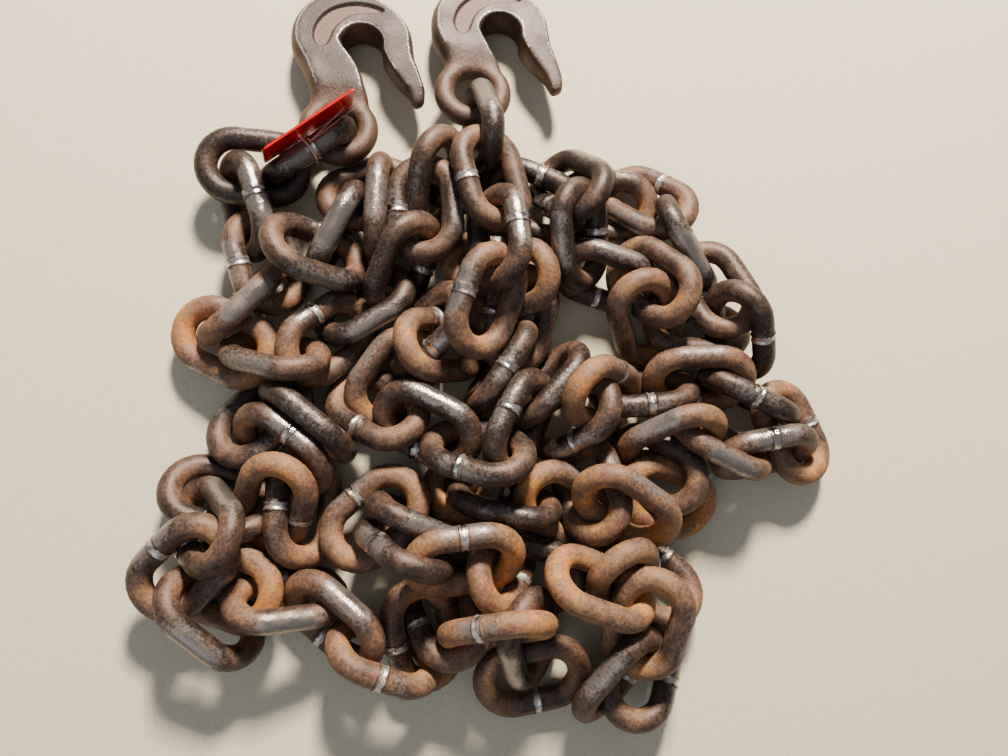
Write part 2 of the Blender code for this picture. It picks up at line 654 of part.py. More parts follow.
def linear(byte):
    """One sRGB channel, 0 to 255, as linear light."""
    c = byte / 255
    return c / 12.92 if c <= 0.04045 else ((c + 0.055) / 1.055) ** 2.4


# Build
for old in list(bpy.data.objects):
    bpy.data.objects.remove(old)

reading = Reading()
eyes = np.stack([eye_axis(0), eye_axis(1)])
centres, link_axes = settle(reading, eyes)
runs = runs_of(reading.strand)
built = []
for number, run in enumerate(runs):
    solid = link_solid(f"chain_run_{number + 1:02d}", centres[run[0]], link_axes[run[0]])
    for k in run[1:]:
        combine(solid, link_solid("next_link", centres[k], link_axes[k]), "UNION")
    built.append((solid, RUSTS[number % len(RUSTS)]))
built += [(hook_solid(0), FORGED), (hook_solid(1), FORGED)]
tag_place = tag_frame(centres[HOOKED[0]], link_axes[HOOKED[0]])
built += [(tag_solid(*tag_place), TAG_RED), (tie_solid(*tag_place), TIE_CLEAR)]

low = Vector((min(v.co[a] for solid, _ in built for v in solid.data.vertices) for a in range(3)))
high = Vector((max(v.co[a] for solid, _ in built for v in solid.data.vertices) for a in range(3)))
shift = Vector(((low[0] + high[0]) / 2, (low[1] + high[1]) / 2, low[2]))
for solid, look in built:
    for v in solid.data.vertices:
        v.co -= shift
    finish(solid, look)
print("links", len(centres), "runs", len(runs), "shift", tuple(round(q, 6) for q in shift))
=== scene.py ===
# %% [markdown]
# # A heap of welded steel chain
#
# This lesson dresses a heap of lifting chain that lies on the ground with a forged hook on either end.
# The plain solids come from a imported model. Each run of plain links gets round, welded, rusty links
# laid exactly over it, the two hooks get their forged shape and the small red tag its thin plate.
# Everything is in metres, +Z is up and -Y is the side that the picture was taken from.

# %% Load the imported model
from math import cos, modf, pi, radians, sin, sqrt, tau

import bmesh
import bpy
import numpy as np
from mathutils import Matrix, Vector


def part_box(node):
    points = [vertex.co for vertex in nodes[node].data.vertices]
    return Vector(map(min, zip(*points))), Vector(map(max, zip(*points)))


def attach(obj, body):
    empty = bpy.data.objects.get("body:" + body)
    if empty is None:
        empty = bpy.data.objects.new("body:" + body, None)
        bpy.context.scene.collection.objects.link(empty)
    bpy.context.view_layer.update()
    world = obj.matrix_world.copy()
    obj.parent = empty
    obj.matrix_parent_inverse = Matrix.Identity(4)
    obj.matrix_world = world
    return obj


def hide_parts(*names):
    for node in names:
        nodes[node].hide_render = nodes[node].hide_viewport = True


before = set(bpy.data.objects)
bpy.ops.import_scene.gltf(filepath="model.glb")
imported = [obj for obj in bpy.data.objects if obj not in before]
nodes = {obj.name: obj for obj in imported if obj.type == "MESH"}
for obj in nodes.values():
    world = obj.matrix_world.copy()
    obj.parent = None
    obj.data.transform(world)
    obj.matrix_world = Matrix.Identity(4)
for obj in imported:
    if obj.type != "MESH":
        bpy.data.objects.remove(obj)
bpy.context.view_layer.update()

# %% [markdown]
# ## Colours and nodes
#
# Colours are picked as the screen shows them, so they are written as sRGB hex and turned to linear light
# once. All materials are built with one small function that adds a node, sets it and links it.

# %% Colours and one node helper
def linear(code):
    """An sRGB hex colour such as '#8a5a3c' as linear light with full alpha."""
    parts = [int(code[k:k + 2], 16) / 255 for k in (1, 3, 5)]
    return (*[c / 12.92 if c <= 0.04045 else ((c + 0.055) / 1.055) ** 2.4 for c in parts], 1.0)


def add(tree, kind, settings=None, sockets=None, out=0):
    """Adds a shader node and gives back one of its outputs. A socket takes a value or another node's output."""
    node = tree.nodes.new("ShaderNode" + kind)
    for name, value in (settings or {}).items():
        setattr(node, name, value)
    for key, value in (sockets or {}).items():
        if isinstance(value, bpy.types.NodeSocket):
            tree.links.new(value, node.inputs[key])
        else:
            node.inputs[key].default_value = value
    return node.outputs[out] if node.outputs else None


print("linear of #7a4e33", [round(c, 3) for c in linear("#7a4e33")])

# %% [markdown]
# ## Sizes of the chain
#
# The chain is made of 5/8 in round bar. Each link is bent from a cut length and butt-welded in the middle of
# one straight side. A link is best described by the axis of its wire: two straight sides and two half circles.

# %% Sizes of a link
WIRE = 0.016  # chain wire, 5/8 in
PITCH = 0.048  # inside length of a link
INSIDE_WIDTH = 0.0225  # inside width of a link
END_X = (PITCH + WIRE) / 2  # wire axis at the end of a link
BEND = (INSIDE_WIDTH + WIRE) / 2
BEND_X = END_X - BEND
LINK_TIP = END_X + WIRE / 2  # outermost point of a link's end
BEND_STATIONS = 6  # sections in each end bend
WIRE_R = 0.0081  # corner radius of the sided wire
GAP = 0.0003  # between wires of different runs
CLEAR = 2 * WIRE_R + GAP
BITE = 0.0139  # between wire axes where two links of one run bear on each other

print("link outside", round(2000 * LINK_TIP, 1), "x", round(2000 * (BEND + WIRE / 2), 1), "mm")

# %% [markdown]
# ## Where every link lies
#
# A chain thrown on the ground makes no pattern, so nothing can be arrayed. Each link was read from the picture:
# where its two ends are seen on the ground, how high they are and how far it is rolled. The rows
# follow the chain in ten strands that show without a break; between them it runs unseen under the rest.

# %% The links as read: x, y and height of both ends in millimetres, and the roll in degrees
STRANDS = (
    # from the left hook round the left side, the back and the right side
    ((-56, 277, 30, -121, 249, 32, 80), (-86, 247, 12, -156, 237, 26, -35),
     (-132, 253, 34, -109, 181, 20, 75), (-122, 214, 9, -118, 138, 9, 10), (-107, 178, 38, -139, 126, 12, 80),
     (-159, 138, 24, -92, 106, 22, -20), (-138, 110, 12, -64, 90, 20, -10), (-107, 98, 26, -43, 140, 42, 35),
     (-80, 118, 22, -17, 168, 30, -25), (-42, 140, 44, -3, 213, 56, 35), (-8, 186, 50, 8, 248, 46, -35),
     (0, 207, 44, 6, 273, 40, 50), (5, 257, 12, 68, 242, 10, 50), (42, 236, 12, 106, 241, 22, 80),
     (74, 248, 24, 147, 218, 40, 20), (121, 236, 36, 110, 160, 26, -35), (118, 169, 34, 169, 172, 40, 75),
     (141, 184, 36, 211, 142, 44, 25), (180, 165, 40, 158, 120, 14, -30), (190, 112, 10, 263, 110, 12, 15),
     (249, 119, 30, 205, 133, 34, 80), (228, 124, 26, 194, 181, 24, -30), (203, 152, 22, 171, 217, 30, 60),
     (193, 192, 24, 140, 247, 20, -25), (171, 226, 28, 90, 214, 14, -20)),
    # from the right hook down the middle
    ((37, 318, 20, 52, 238, 34, -70), (44, 272, 34, 66, 200, 44, -25), (58, 228, 44, 68, 141, 48, 60),
     (56, 172, 36, 42, 90, 26, -55)),
    # back from the middle
    ((57, 58, 22, 60, 122, 30, 60), (70, 98, 20, 79, 166, 34, -60), (104, 164, 26, 32, 176, 20, 0),
     (88, 163, 34, 8, 167, 14, 70)),
    # under the right hook's strand
    ((-34, 196, 24, -12, 246, 40, 55), (-12, 232, 14, -69, 216, 36, -20), (-43, 225, 44, -90, 177, 34, 75),
     (-101, 184, 32, -36, 166, 30, -20)),
    # through the middle of the heap
    ((-18, 98, 22, 34, 122, 40, -35), (2, 94, 18, 7, 150, 34, 50), (-9, 125, 40, -42, 78, 16, -45),
     (-60, 84, 24, 5, 56, 38, -45), (-29, 68, 44, 47, 50, 48, 10), (3, 52, 46, 78, 30, 36, -40),
     (46, 33, 38, 99, 75, 46, 50), (71, 68, 20, 110, 103, 22, -40)),
    # the right side
    ((84, 50, 12, 120, 83, 34, -50), (87, 82, 30, 163, 84, 32, 35), (131, 76, 34, 196, 86, 24, -45),
     (167, 97, 30, 245, 96, 30, 50), (213, 94, 20, 269, 60, 26, 45), (241, 80, 12, 293, 27, 12, 5),
     (283, 45, 26, 217, 42, 34, -50), (249, 21, 24, 198, 50, 40, 45), (219, 67, 44, 139, 40, 34, -50),
     (200, 30, 20, 138, 8, 12, -10), (141, 34, 42, 204, -22, 42, 55)),
    # in front of the right side
    ((173, -25, 38, 110, 13, 44, -65), (128, 42, 34, 108, -32, 14, 0), (121, -2, 22, 62, -6, 22, -45),
     (102, -14, 42, 30, -18, 34, 60), (31, -19, 14, 60, 46, 10, 0)),
    # the front
    ((183, -82, 12, 134, -24, 18, -15), (133, -25, 44, 146, -64, 10, -20), (93, -69, 26, 170, -52, 34, -35),
     (172, -42, 22, 132, -106, 34, 45), (156, -82, 26, 116, -124, 22, -35), (141, -149, 14, 158, -82, 10, 0)),
    # the front, the left side and back to the middle
    ((108, -100, 10, 36, -96, 9, -10), (72, -102, 20, 66, -34, 26, 30), (87, -60, 46, 8, -70, 46, 80),
     (-3, -36, 18, 36, -104, 26, 10), (24, -100, 9, -48, -74, 9, 5), (0, -107, 12, -45, -76, 30, 70),
     (-17, -71, 34, -88, -58, 36, -50), (-62, -67, 30, -136, -66, 26, 45),
     (-103, -72, 20, -152, -40, 18, -40), (-100, -76, 9, -175, -46, 9, 5), (-166, -60, 22, -123, -19, 24, 60),
     (-108, -46, 26, -150, 10, 34, -40), (-177, 1, 14, -100, 4, 10, 5), (-104, -40, 9, -100, 38, 34, 0),
     (-84, -36, 30, -78, 38, 9, 25), (-67, 21, 26, -132, 55, 30, -50), (-131, 29, 20, -104, 96, 14, 0),
     (-100, 94, 12, -50, 37, 16, 65)),
    # the front's middle
    ((39, -31, 28, -30, -8, 36, 65), (4, -10, 26, -62, -22, 16, -30), (-46, -12, 34, 17, -61, 40, 70),
     (14, -44, 34, 60, -75, 8, 60), (52, -84, 12, 50, -31, 34, 80), (52, -46, 24, 123, -56, 24, 60)),
)
HOOKED = (0, 25)  # the links in the left and the right eye, counted through all strands

print("links read", sum(len(strand) for strand in STRANDS))

# %% Short vector helpers, for many rows at once
def total(v):
    return v[..., 0] + v[..., 1] + v[..., 2]


def unit(v):
    return v / np.sqrt(total(v * v))[..., None]


def cross(u, v):
    return np.stack([u[..., 1] * v[..., 2] - u[..., 2] * v[..., 1],
                     u[..., 2] * v[..., 0] - u[..., 0] * v[..., 2],
                     u[..., 0] * v[..., 1] - u[..., 1] * v[..., 0]], -1)


print("x cross y is", cross(*np.eye(3)[:2]))

# %% [markdown]
# ## From a reading to a pose
#
# A point above the ground is seen further out than it is. The reading keeps the seen point, and the pose moves
# it back along the line of sight once the height is known.

# %% Poses from the readings
CAMERA_HEIGHT = 0.543  # over the floor; end points are read as seen from there
RAISED_BAR = 0.010  # how far the upper bar of a rolled link stands over its axis, at most


def link_loop():
    """The wire axis of a link as a closed polygon in its own plane, x along the link."""
    step = pi / (BEND_STATIONS - 1)
    radius = BEND * 2 / (1 + cos(step / 2))
    points = []
    for side in (1, -1):
        for k in range(BEND_STATIONS):
            t = -pi / 2 + step * k
            points.append((side * (BEND_X + radius * cos(t)), side * radius * sin(t)))
    return np.array(points)


LOOP = link_loop()
STATIONS = len(LOOP)
ROWS = np.array([row for strand in STRANDS for row in strand], float)
STRAND_OF = [s for s, strand in enumerate(STRANDS) for _ in strand]
LINKS = len(ROWS)
SEEN = (ROWS[:, 0:2] / 1000, ROWS[:, 3:5] / 1000)
HEIGHTS = (ROWS[:, 2] / 1000, ROWS[:, 5] / 1000)
ROLL_COS, ROLL_SIN = (np.array([wave(radians(row[6])) for row in ROWS]) for wave in (cos, sin))


def pose(heights):
    """Centres and axes (along, across, through the opening) of all links, their two ends at these heights."""
    lift = RAISED_BAR * np.abs(ROLL_SIN)
    end1, end2 = (np.column_stack([seen * (1 - (z + lift) / CAMERA_HEIGHT)[:, None], z])
                  for seen, z in zip(SEEN, heights))
    along = unit(end2 - end1)
    left = unit(np.stack([-along[:, 1], along[:, 0], 0 * end1[:, 2]], 1))
    across = ROLL_COS[:, None] * left + ROLL_SIN[:, None] * cross(along, left)
    return (end1 + end2) / 2, np.stack([along, across, cross(along, across)], 1)


def wire_axes(centre, axes):
    """Every link's wire axis as a closed polygon in space."""
    return (centre[:, None, :] + LOOP[None, :, 0, None] * axes[:, None, 0, :]
            + LOOP[None, :, 1, None] * axes[:, None, 1, :])


print("wire axis points per link", STATIONS)

# %% The hooks' place
EYE_HOLE_R = 0.0136
EYE_OUTER_R = 0.0285
EYE_THICK = 0.0155
EYE_R = (EYE_HOLE_R + EYE_OUTER_R) / 2  # the middle of the ring's wall
EYE_Z = 0.025  # the eye is held up by the link that runs under it
HOOK_THICK = 0.025
BOWL_FAR = 0.045  # from the throat's middle to the far side of the bowl
HOOK_EYES = ((-0.0628, 0.2656), (0.0340, 0.2990))  # the left hook first
THROAT_FROM_EYE = ((0.0155, 0.0668), (0.0213, 0.0487))


def hook_point(hook, x, y, z):
    """A point of a hook, given from the middle of its eye, as it lies: eye end up on the chain."""
    far = THROAT_FROM_EYE[hook][1] + BOWL_FAR
    sine = (EYE_Z - HOOK_THICK / 2) / far
    cosine = sqrt(1 - sine * sine)
    eye_x, eye_y = HOOK_EYES[hook]
    return (eye_x + x, eye_y + y * cosine + z * sine, EYE_Z - y * sine + z * cosine)


def eye_axis(hook):
    """The wall axis of a hook's eye as a closed polygon."""
    turns = [tau * (k + 0.5) / STATIONS for k in range(STATIONS)]
    return np.array([hook_point(hook, EYE_R * cos(t), EYE_R * sin(t), 0) for t in turns])


print("eyes at height", [round(1000 * hook_point(k, 0, 0, 0)[2], 1) for k in (0, 1)], "mm")

# %% [markdown]
# ## Settling the heap
#
# The readings leave the links a few millimetres inside each other. A rigid-body solver could part them, but
# would shake the heap out of its read lay. A small solver of our own is gentler: it draws each link through its
# neighbour where the thread was lost, pushes wires apart that are too near, and lets weight pull all down. It
# rounds its numbers at each step, so it gives the same heap every time.

# %% Is a wire threaded through a link, and where do two wires come nearest
def passes(loops, centre, axes):
    """How often, with sign, each closed polygon passes through the opening of the link beside it."""
    rel = loops - centre[:, None, :]
    u, v, w = (total(rel * axes[:, None, k, :]) for k in range(3))
    u2, v2, w2 = (np.roll(q, -1, 1) for q in (u, v, w))
    hit = (w > 0) != (w2 > 0)
    f = np.where(hit, w / np.where(hit, w - w2, 1.0), 0.0)
    x = np.abs(u + f * (u2 - u))
    y = v + f * (v2 - v)
    past = x - np.minimum(x, BEND_X)
    inside = hit & (past * past + y * y < BEND * BEND)
    return (inside * np.where(w > 0, 1, -1)).sum(1)


def closest(p1, q1, p2, q2):
    """The nearest points of two rows of straight segments."""
    d1, d2, r = q1 - p1, q2 - p2, p1 - p2
    a, e, f = total(d1 * d1), total(d2 * d2), total(d2 * r)
    c, b = total(d1 * r), total(d1 * d2)
    den = a * e - b * b
    s = np.where(den > 1e-14, np.clip((b * f - c * e) / np.maximum(den, 1e-14), 0, 1), 0.5)
    t = np.clip((b * s + f) / e, 0, 1)
    s = np.clip((b * t - c) / a, 0, 1)
    return p1 + d1 * s[:, None], p2 + d2 * t[:, None]


def turned(axes, w):
    """The links' axes after the small rotations w."""
    out = axes + cross(np.broadcast_to(w[:, None, :], axes.shape), axes)
    along = unit(out[:, 0])
    across = unit(out[:, 1] - along * total(out[:, 1] * along)[:, None])
    return np.stack([along, across, cross(along, across)], 1)

# %% Which links are neighbours, and where they touch
NEAR = 0.088  # between the middles of two links that could touch
REACH = 2 * BEND_X + CLEAR + 0.006  # the same for two pieces of wire
LOOSE_GAP = 0.0002  # threaded links further apart than this are drawn together a little
LOOSE_PHASE = (0.3, 0.9)  # in this part of the steps
LOOSE_PULL = 0.3


def runs_of(strand):
    """Two links to a run, three in the last run of a strand with an odd number."""
    made = []
    for s in sorted(set(strand)):
        own = [link for link, its_strand in enumerate(strand) if its_strand == s]
        while own:
            size = 3 if len(own) == 3 else 2
            made.append(own[:size])
            own = own[size:]
    return made


runs = runs_of(STRAND_OF)
bearing = {(run[k], run[k + 1]) for run in runs for k in range(len(run) - 1)}
ALL = np.array([(i, j) for i in range(LINKS) for j in range(i + 1, LINKS)])
CHAINED = np.array([j == i + 1 and STRAND_OF[i] == STRAND_OF[j] for i, j in ALL])
JOINED = np.array([(i, j) in bearing for i, j in ALL])


def neighbours(centre, axes, loops, eyes):
    """The pieces of wire that could touch, the links still to be threaded, and those threaded by mistake."""
    gap = centre[ALL[:, 0]] - centre[ALL[:, 1]]
    near = np.sqrt(total(gap * gap)) < NEAR
    pair, chained, joined = ALL[near], CHAINED[near], JOINED[near]
    i, j = pair[:, 0], pair[:, 1]
    one = passes(loops[j], centre[i], axes[i]) != 0
    two = passes(loops[i], centre[j], axes[j]) != 0
    unthreaded, tangled = pair[chained & ~(one & two)], pair[~chained & (one | two)]
    good = np.where(chained, one & two, ~(one | two))
    rows = [pair[good]]
    for q, eye in enumerate(eyes):
        gap = centre - eye.mean(0)
        close = np.nonzero(np.sqrt(total(gap * gap)) < NEAR)[0]
        rows.append(np.stack([close, np.full(len(close), LINKS + q)], 1))
    pair = np.concatenate(rows)
    at_eyes = np.zeros(len(pair) - good.sum(), bool)
    chained, joined = (np.concatenate([kind[good], at_eyes]) for kind in (chained, joined))
    body = np.concatenate([loops, eyes])
    mid1, mid2 = ((body[link] + np.roll(body[link], -1, 1)) / 2 for link in (pair[:, 0], pair[:, 1]))
    gap = mid1[:, :, None, :] - mid2[:, None, :, :]
    row, a, b = np.nonzero((np.sqrt(total(gap * gap)) < REACH) | chained[:, None, None])
    return (row, pair[row, 0], pair[row, 1], a, b, chained[row], joined[row]), unthreaded, tangled


def touching(wires, centre, loops, eyes, phase):
    """Every place where two wires are too near, or where a bearing is not yet made."""
    row, i, j, a, b, chained, joined = wires
    body = np.concatenate([loops, eyes])
    middle = np.concatenate([centre, eyes.mean(1)])
    x1, x2 = closest(body[i, a], body[i, (a + 1) % STATIONS], body[j, b], body[j, (b + 1) % STATIONS])
    apart = x1 - x2
    dist = np.sqrt(total(apart * apart))
    order = np.lexsort((dist, row))
    first = np.ones(len(order), bool)
    first[1:] = row[order][1:] != row[order][:-1]
    nearest = np.zeros(len(order), bool)
    nearest[order[first]] = True
    wanted = np.where(joined, BITE, np.where(j >= LINKS, WIRE_R + EYE_THICK / 2 + GAP, CLEAR))
    depth = wanted - dist
    pulled = nearest & joined & (depth < 0)
    loose = nearest & chained & ~joined & (depth < -LOOSE_GAP)
    loose = loose & (LOOSE_PHASE[0] < phase < LOOSE_PHASE[1])
    use = (depth > 0) | pulled | loose
    i, j, x1, x2, depth = i[use], j[use], x1[use], x2[use], depth[use]
    way = apart[use] / np.maximum(dist[use], 1e-9)[:, None]
    return i, j, x1 - middle[i], x2 - middle[j], way, np.where(loose[use], LOOSE_PULL, 1.0) * depth


print("links further apart than", round(1000 * NEAR), "mm are never compared")

# %% The settling steps
STEPS = 1300
HOLD_UNTIL = 0.7  # part of the steps in which the read poses still pull
HOLD = 0.06
HOLD_LEAST = 0.03
HOLD_HEIGHT = 0.3
SINK = 0.0002  # weight: how far a link sinks in a step
SINK_UNTIL = 0.75
LIFT_UNTIL = 0.35  # until then links give way upward more than sideways
LIFT_SIDE = 0.25
TURN_MASS = 0.00055  # resistance to turning, per unit mass
REFRESH = 4  # steps between two searches for neighbours
MOVE_MOST = 0.004  # in one step
TURN_MOST = 0.12
SHARE = (1.3, 0.22)  # of all pushes: the first over their number, but at least the second
FLOOR_PUSH = 0.5
DRAW = 0.06  # how fast a link that isn't threaded is drawn into its neighbour
TWIST = 0.05
PART = 0.0012  # how fast two tangled links part
EYE_DRAW = 0.12
EYE_IN = 0.002  # how far past the eye's middle the hooked link is drawn


def draws(centre, axes, p, q, side_p, side_q):
    """For each of two links: itself, the other, and the way from its end (1 or -1) into the other's opening."""
    return [(link, other, centre[other] + seat * (END_X - WIRE) * axes[other, 0]
             - (centre[link] + side * END_X * axes[link, 0]))
            for link, other, side, seat in ((p, q, side_p, side_q), (q, p, side_q, side_p))]


def settle(eyes):
    """Threads the links of each strand and pushes all wires apart, while their weight pulls down."""
    centre, axes = pose(HEIGHTS)
    for step in range(STEPS):
        phase = step / STEPS
        loops = wire_axes(centre, axes)
        if step % REFRESH == 0:
            wires, unthreaded, tangled = neighbours(centre, axes, loops, eyes)
        i, j, arm1, arm2, way, depth = touching(wires, centre, loops, eyes, phase)
        spin1, spin2 = cross(arm1, way), cross(arm2, way)
        give1 = 1 + total(spin1 * spin1) / TURN_MASS
        give2 = np.where(j >= LINKS, 0.0, 1 + total(spin2 * spin2) / TURN_MASS)
        push = (np.clip(depth, -MOVE_MOST, MOVE_MOST) / (give1 + give2))[:, None]
        move, turn, count = np.zeros((LINKS + 2, 3)), np.zeros((LINKS + 2, 3)), np.zeros(LINKS + 2)
        for link, sign, spin in ((i, 1, spin1), (j, -1, spin2)):
            np.add.at(move, link, sign * way * push)
            np.add.at(turn, link, sign * spin * push / TURN_MASS)
            np.add.at(count, link, 1)
        share = np.maximum(SHARE[0] / np.maximum(count, 1), SHARE[1])[:LINKS, None]
        move, turn = move[:LINKS] * share, turn[:LINKS] * share
        if phase < LIFT_UNTIL:
            move[:, :2] *= LIFT_SIDE
        # the floor
        k, station = np.nonzero(loops[:, :, 2] < WIRE_R)
        arm = loops[k, station] - centre[k]
        spin = np.stack([arm[:, 1], -arm[:, 0], 0 * arm[:, 0]], 1)
        push = FLOOR_PUSH * (WIRE_R - loops[k, station, 2]) / (1 + total(spin * spin) / TURN_MASS)
        np.add.at(move[:, 2], k, push)
        np.add.at(turn, k, spin * (push / TURN_MASS)[:, None])
        # links still to be threaded are drawn together by their nearest ends
        for p, q in unthreaded:
            options = [draws(centre, axes, p, q, side_p, side_q) for side_p in (1, -1) for side_q in (-1, 1)]
            for link, other, way in min(options, key=lambda o: sum(sqrt(total(w * w)) for _, _, w in o)):
                move[link] += DRAW * way
                move[other] -= DRAW * way
            twist = TWIST * total(axes[p, 2] * axes[q, 2])
            turn[p] += twist * axes[p, 0]
            turn[q] -= twist * axes[q, 0]
        # links threaded by mistake part upward and downward
        for p, q in tangled:
            up = PART if centre[p, 2] >= centre[q, 2] else -PART
            move[p, 2] += up
            move[q, 2] -= up
        for link, eye in zip(HOOKED, eyes):
            if passes(eye[None], centre[[link]], axes[[link]])[0] == 0:
                middle = eye.mean(0)
                out = unit(np.array([centre[link, 0] - middle[0], centre[link, 1] - middle[1], 0.0]))
                tip = centre[link] - END_X * axes[link, 0]
                move[link] += EYE_DRAW * (middle - EYE_IN * out - tip)
        if phase < SINK_UNTIL:
            move[:, 2] -= SINK
        if phase < HOLD_UNTIL:
            ends = [centre[:, 2] + side * LINK_TIP * axes[:, 0, 2] for side in (-1, 1)]
            read_centre, read_axes = pose([z + HOLD_HEIGHT * (read - z) for z, read in zip(ends, HEIGHTS)])
            hold = HOLD * max(0.0, 1 - phase / HOLD_UNTIL) + HOLD_LEAST
            move += hold * (read_centre - centre)
            turn += hold * (cross(axes[:, 0], read_axes[:, 0]) + cross(axes[:, 1], read_axes[:, 1])) / 2
        for change, most in ((move, MOVE_MOST), (turn, TURN_MOST)):
            length = np.sqrt(total(change * change))[:, None]
            change *= np.minimum(1.0, most / np.maximum(length, 1e-9))
        centre = np.round(centre + move, 7)
        axes = turned(axes, turn)
    return centre, axes


eyes = np.stack([eye_axis(0), eye_axis(1)])
centres, link_axes = settle(eyes)
print("settled", len(centres), "links, the highest centre at", round(1000 * centres[:, 2].max(), 1), "mm")

# %% [markdown]
# ## The middle of the heap
#
# The readings are measured from the point straight below the camera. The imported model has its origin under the
# middle of the heap, so everything is moved by one fixed amount.

# %% From the reading frame to the model's frame
HEAP_MIDDLE = np.array((0.055467, 0.121078, 0.000009))
centres = centres - HEAP_MIDDLE


def place(point):
    """A point of the reading frame in the model's frame."""
    return np.array(point, float) - HEAP_MIDDLE


def box_off(points, node, skin=0.0):
    """The largest difference between the box of points, grown by skin, and the box of a solid."""
    low, high = (np.array(corner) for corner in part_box(node))
    return max(np.abs(points.min(0) - skin - low).max(), np.abs(points.max(0) + skin - high).max())


run_nodes = [f"chain_run_{number + 1:02d}" for number in range(len(runs))]
worst = max(box_off(wire_axes(centres[run], link_axes[run]).reshape(-1, 3), node, WIRE_R)
            for run, node in zip(runs, run_nodes))
print("largest difference from the solids' boxes", round(1000 * worst, 2), "mm")

# %% [markdown]
# ## The camera
#
# The picture was taken from the front and above, a little more than half a metre over the ground. The point
# straight below the lens is known, and so is the lens, so the tilt follows from them.

# %% The camera at the picture's viewing angle
def put(name, data):
    """A new object with this data, in the scene."""
    thing = bpy.data.objects.new(name, data)
    bpy.context.scene.collection.objects.link(thing)
    return thing


PICTURE = (1008, 756)
FOCAL_PX = 757.0
FOOT_PX = (423.0, 503.0)  # the point straight below the lens
SENSOR = 36.0
CLIP_START = 0.01
foot_x, foot_y = ((foot - side / 2) / FOCAL_PX for foot, side in zip(FOOT_PX, PICTURE))
tilt = Vector((foot_x, -foot_y, -1.0)).normalized().rotation_difference(Vector((0, 0, -1))).to_matrix().to_4x4()
lens = bpy.data.cameras.new("picture_camera")
lens.sensor_width = SENSOR
lens.lens = SENSOR * FOCAL_PX / PICTURE[0]
lens.clip_start = CLIP_START
camera = put("picture_camera", lens)
camera.matrix_world = Matrix.Translation(place((0, 0, CAMERA_HEIGHT))) @ tilt
bpy.context.scene.camera = camera
print("camera at", [round(q, 3) for q in camera.matrix_world.translation])

# %% [markdown]
# ## One round, welded link
#
# Bar is a circle swept along the wire axis. A bevelled curve would give the same tube, but a mesh built from
# stations also carries the weld: a narrow bare band between two ragged beads of metal that was pressed out and
# trimmed off. The bar isn't perfectly even, so slow waves a tenth of a millimetre high go over it.

# %% Stations round a link
BAR_SIDES = 24
BEND_STEPS = 15
WELD_STEPS = (0.0011, 0.0021, 0.0029, 0.0037, 0.005, 0.009)  # to either side of the middle of the weld
PLAIN_STATIONS = (-0.007, 0.0, 0.007)
FAR = 9.0  # stands for: not near the weld
WELD_HEIGHT = 0.0011  # of the beads, before each link's own factor
WELD_HALF = 0.0024  # from the middle of the weld to a bead
BEAD_WIDTH = 0.0009
UNEVEN = 0.00012  # height of the slow waves
WAVES = (300, 240)  # how fast they turn, per metre along and across the link


def bar_stations():
    """Rows: wire axis x, y, way outward x, y, bend (1) or straight side (0), distance from the weld."""
    weld = [(x, x) for x in (*WELD_STEPS[::-1], 0.0, *[-x for x in WELD_STEPS])]
    plain = [(x, FAR) for x in PLAIN_STATIONS]
    rows = []
    for end, side in ((1, weld), (-1, plain)):
        for k in range(BEND_STEPS):
            t = -end * pi / 2 + pi * k / (BEND_STEPS - 1)
            c, s = cos(t), sin(t)
            rows.append((end * BEND_X + BEND * c, BEND * s, c, s, end * c, FAR))
        rows += [(x, end * BEND, 0.0, end, 0.0, from_weld) for x, from_weld in side]
    return np.array(rows)


def ring_faces(count, sides, closed):
    """The faces between rings of points. A row of rings that isn't closed gets its two ends capped."""
    faces = []
    for k in range(count if closed else count - 1):
        m = (k + 1) % count
        faces += [(k * sides + s, m * sides + s, m * sides + (s + 1) % sides, k * sides + (s + 1) % sides)
                  for s in range(sides)]
    if not closed:
        faces += [tuple(range(sides)), tuple((count - 1) * sides + s for s in range(sides))[::-1]]
    return faces


BAR = bar_stations()
LINK_POINTS = len(BAR) * BAR_SIDES
LINK_FACES = ring_faces(len(BAR), BAR_SIDES, True)
print("stations", len(BAR), "points per link", LINK_POINTS, "faces", len(LINK_FACES))

# %% The points of one link, with the marks that the finish will use
ELSEWHERE = np.array([0.31, 0.17, 0.23])  # each link takes its pattern from another place of the noise
PLACES = 17
ASIDE = 0.011


def chance(link, salt):
    """A fixed number from 0 to 1 for a link."""
    return modf(abs(sin(link * 12.9898 + salt * 78.233)) * 43758.5453)[0]


def rising(value, start, width):
    """0 up to the start, 1 from the end of the width on."""
    return np.clip((value - start) / width, 0, 1)


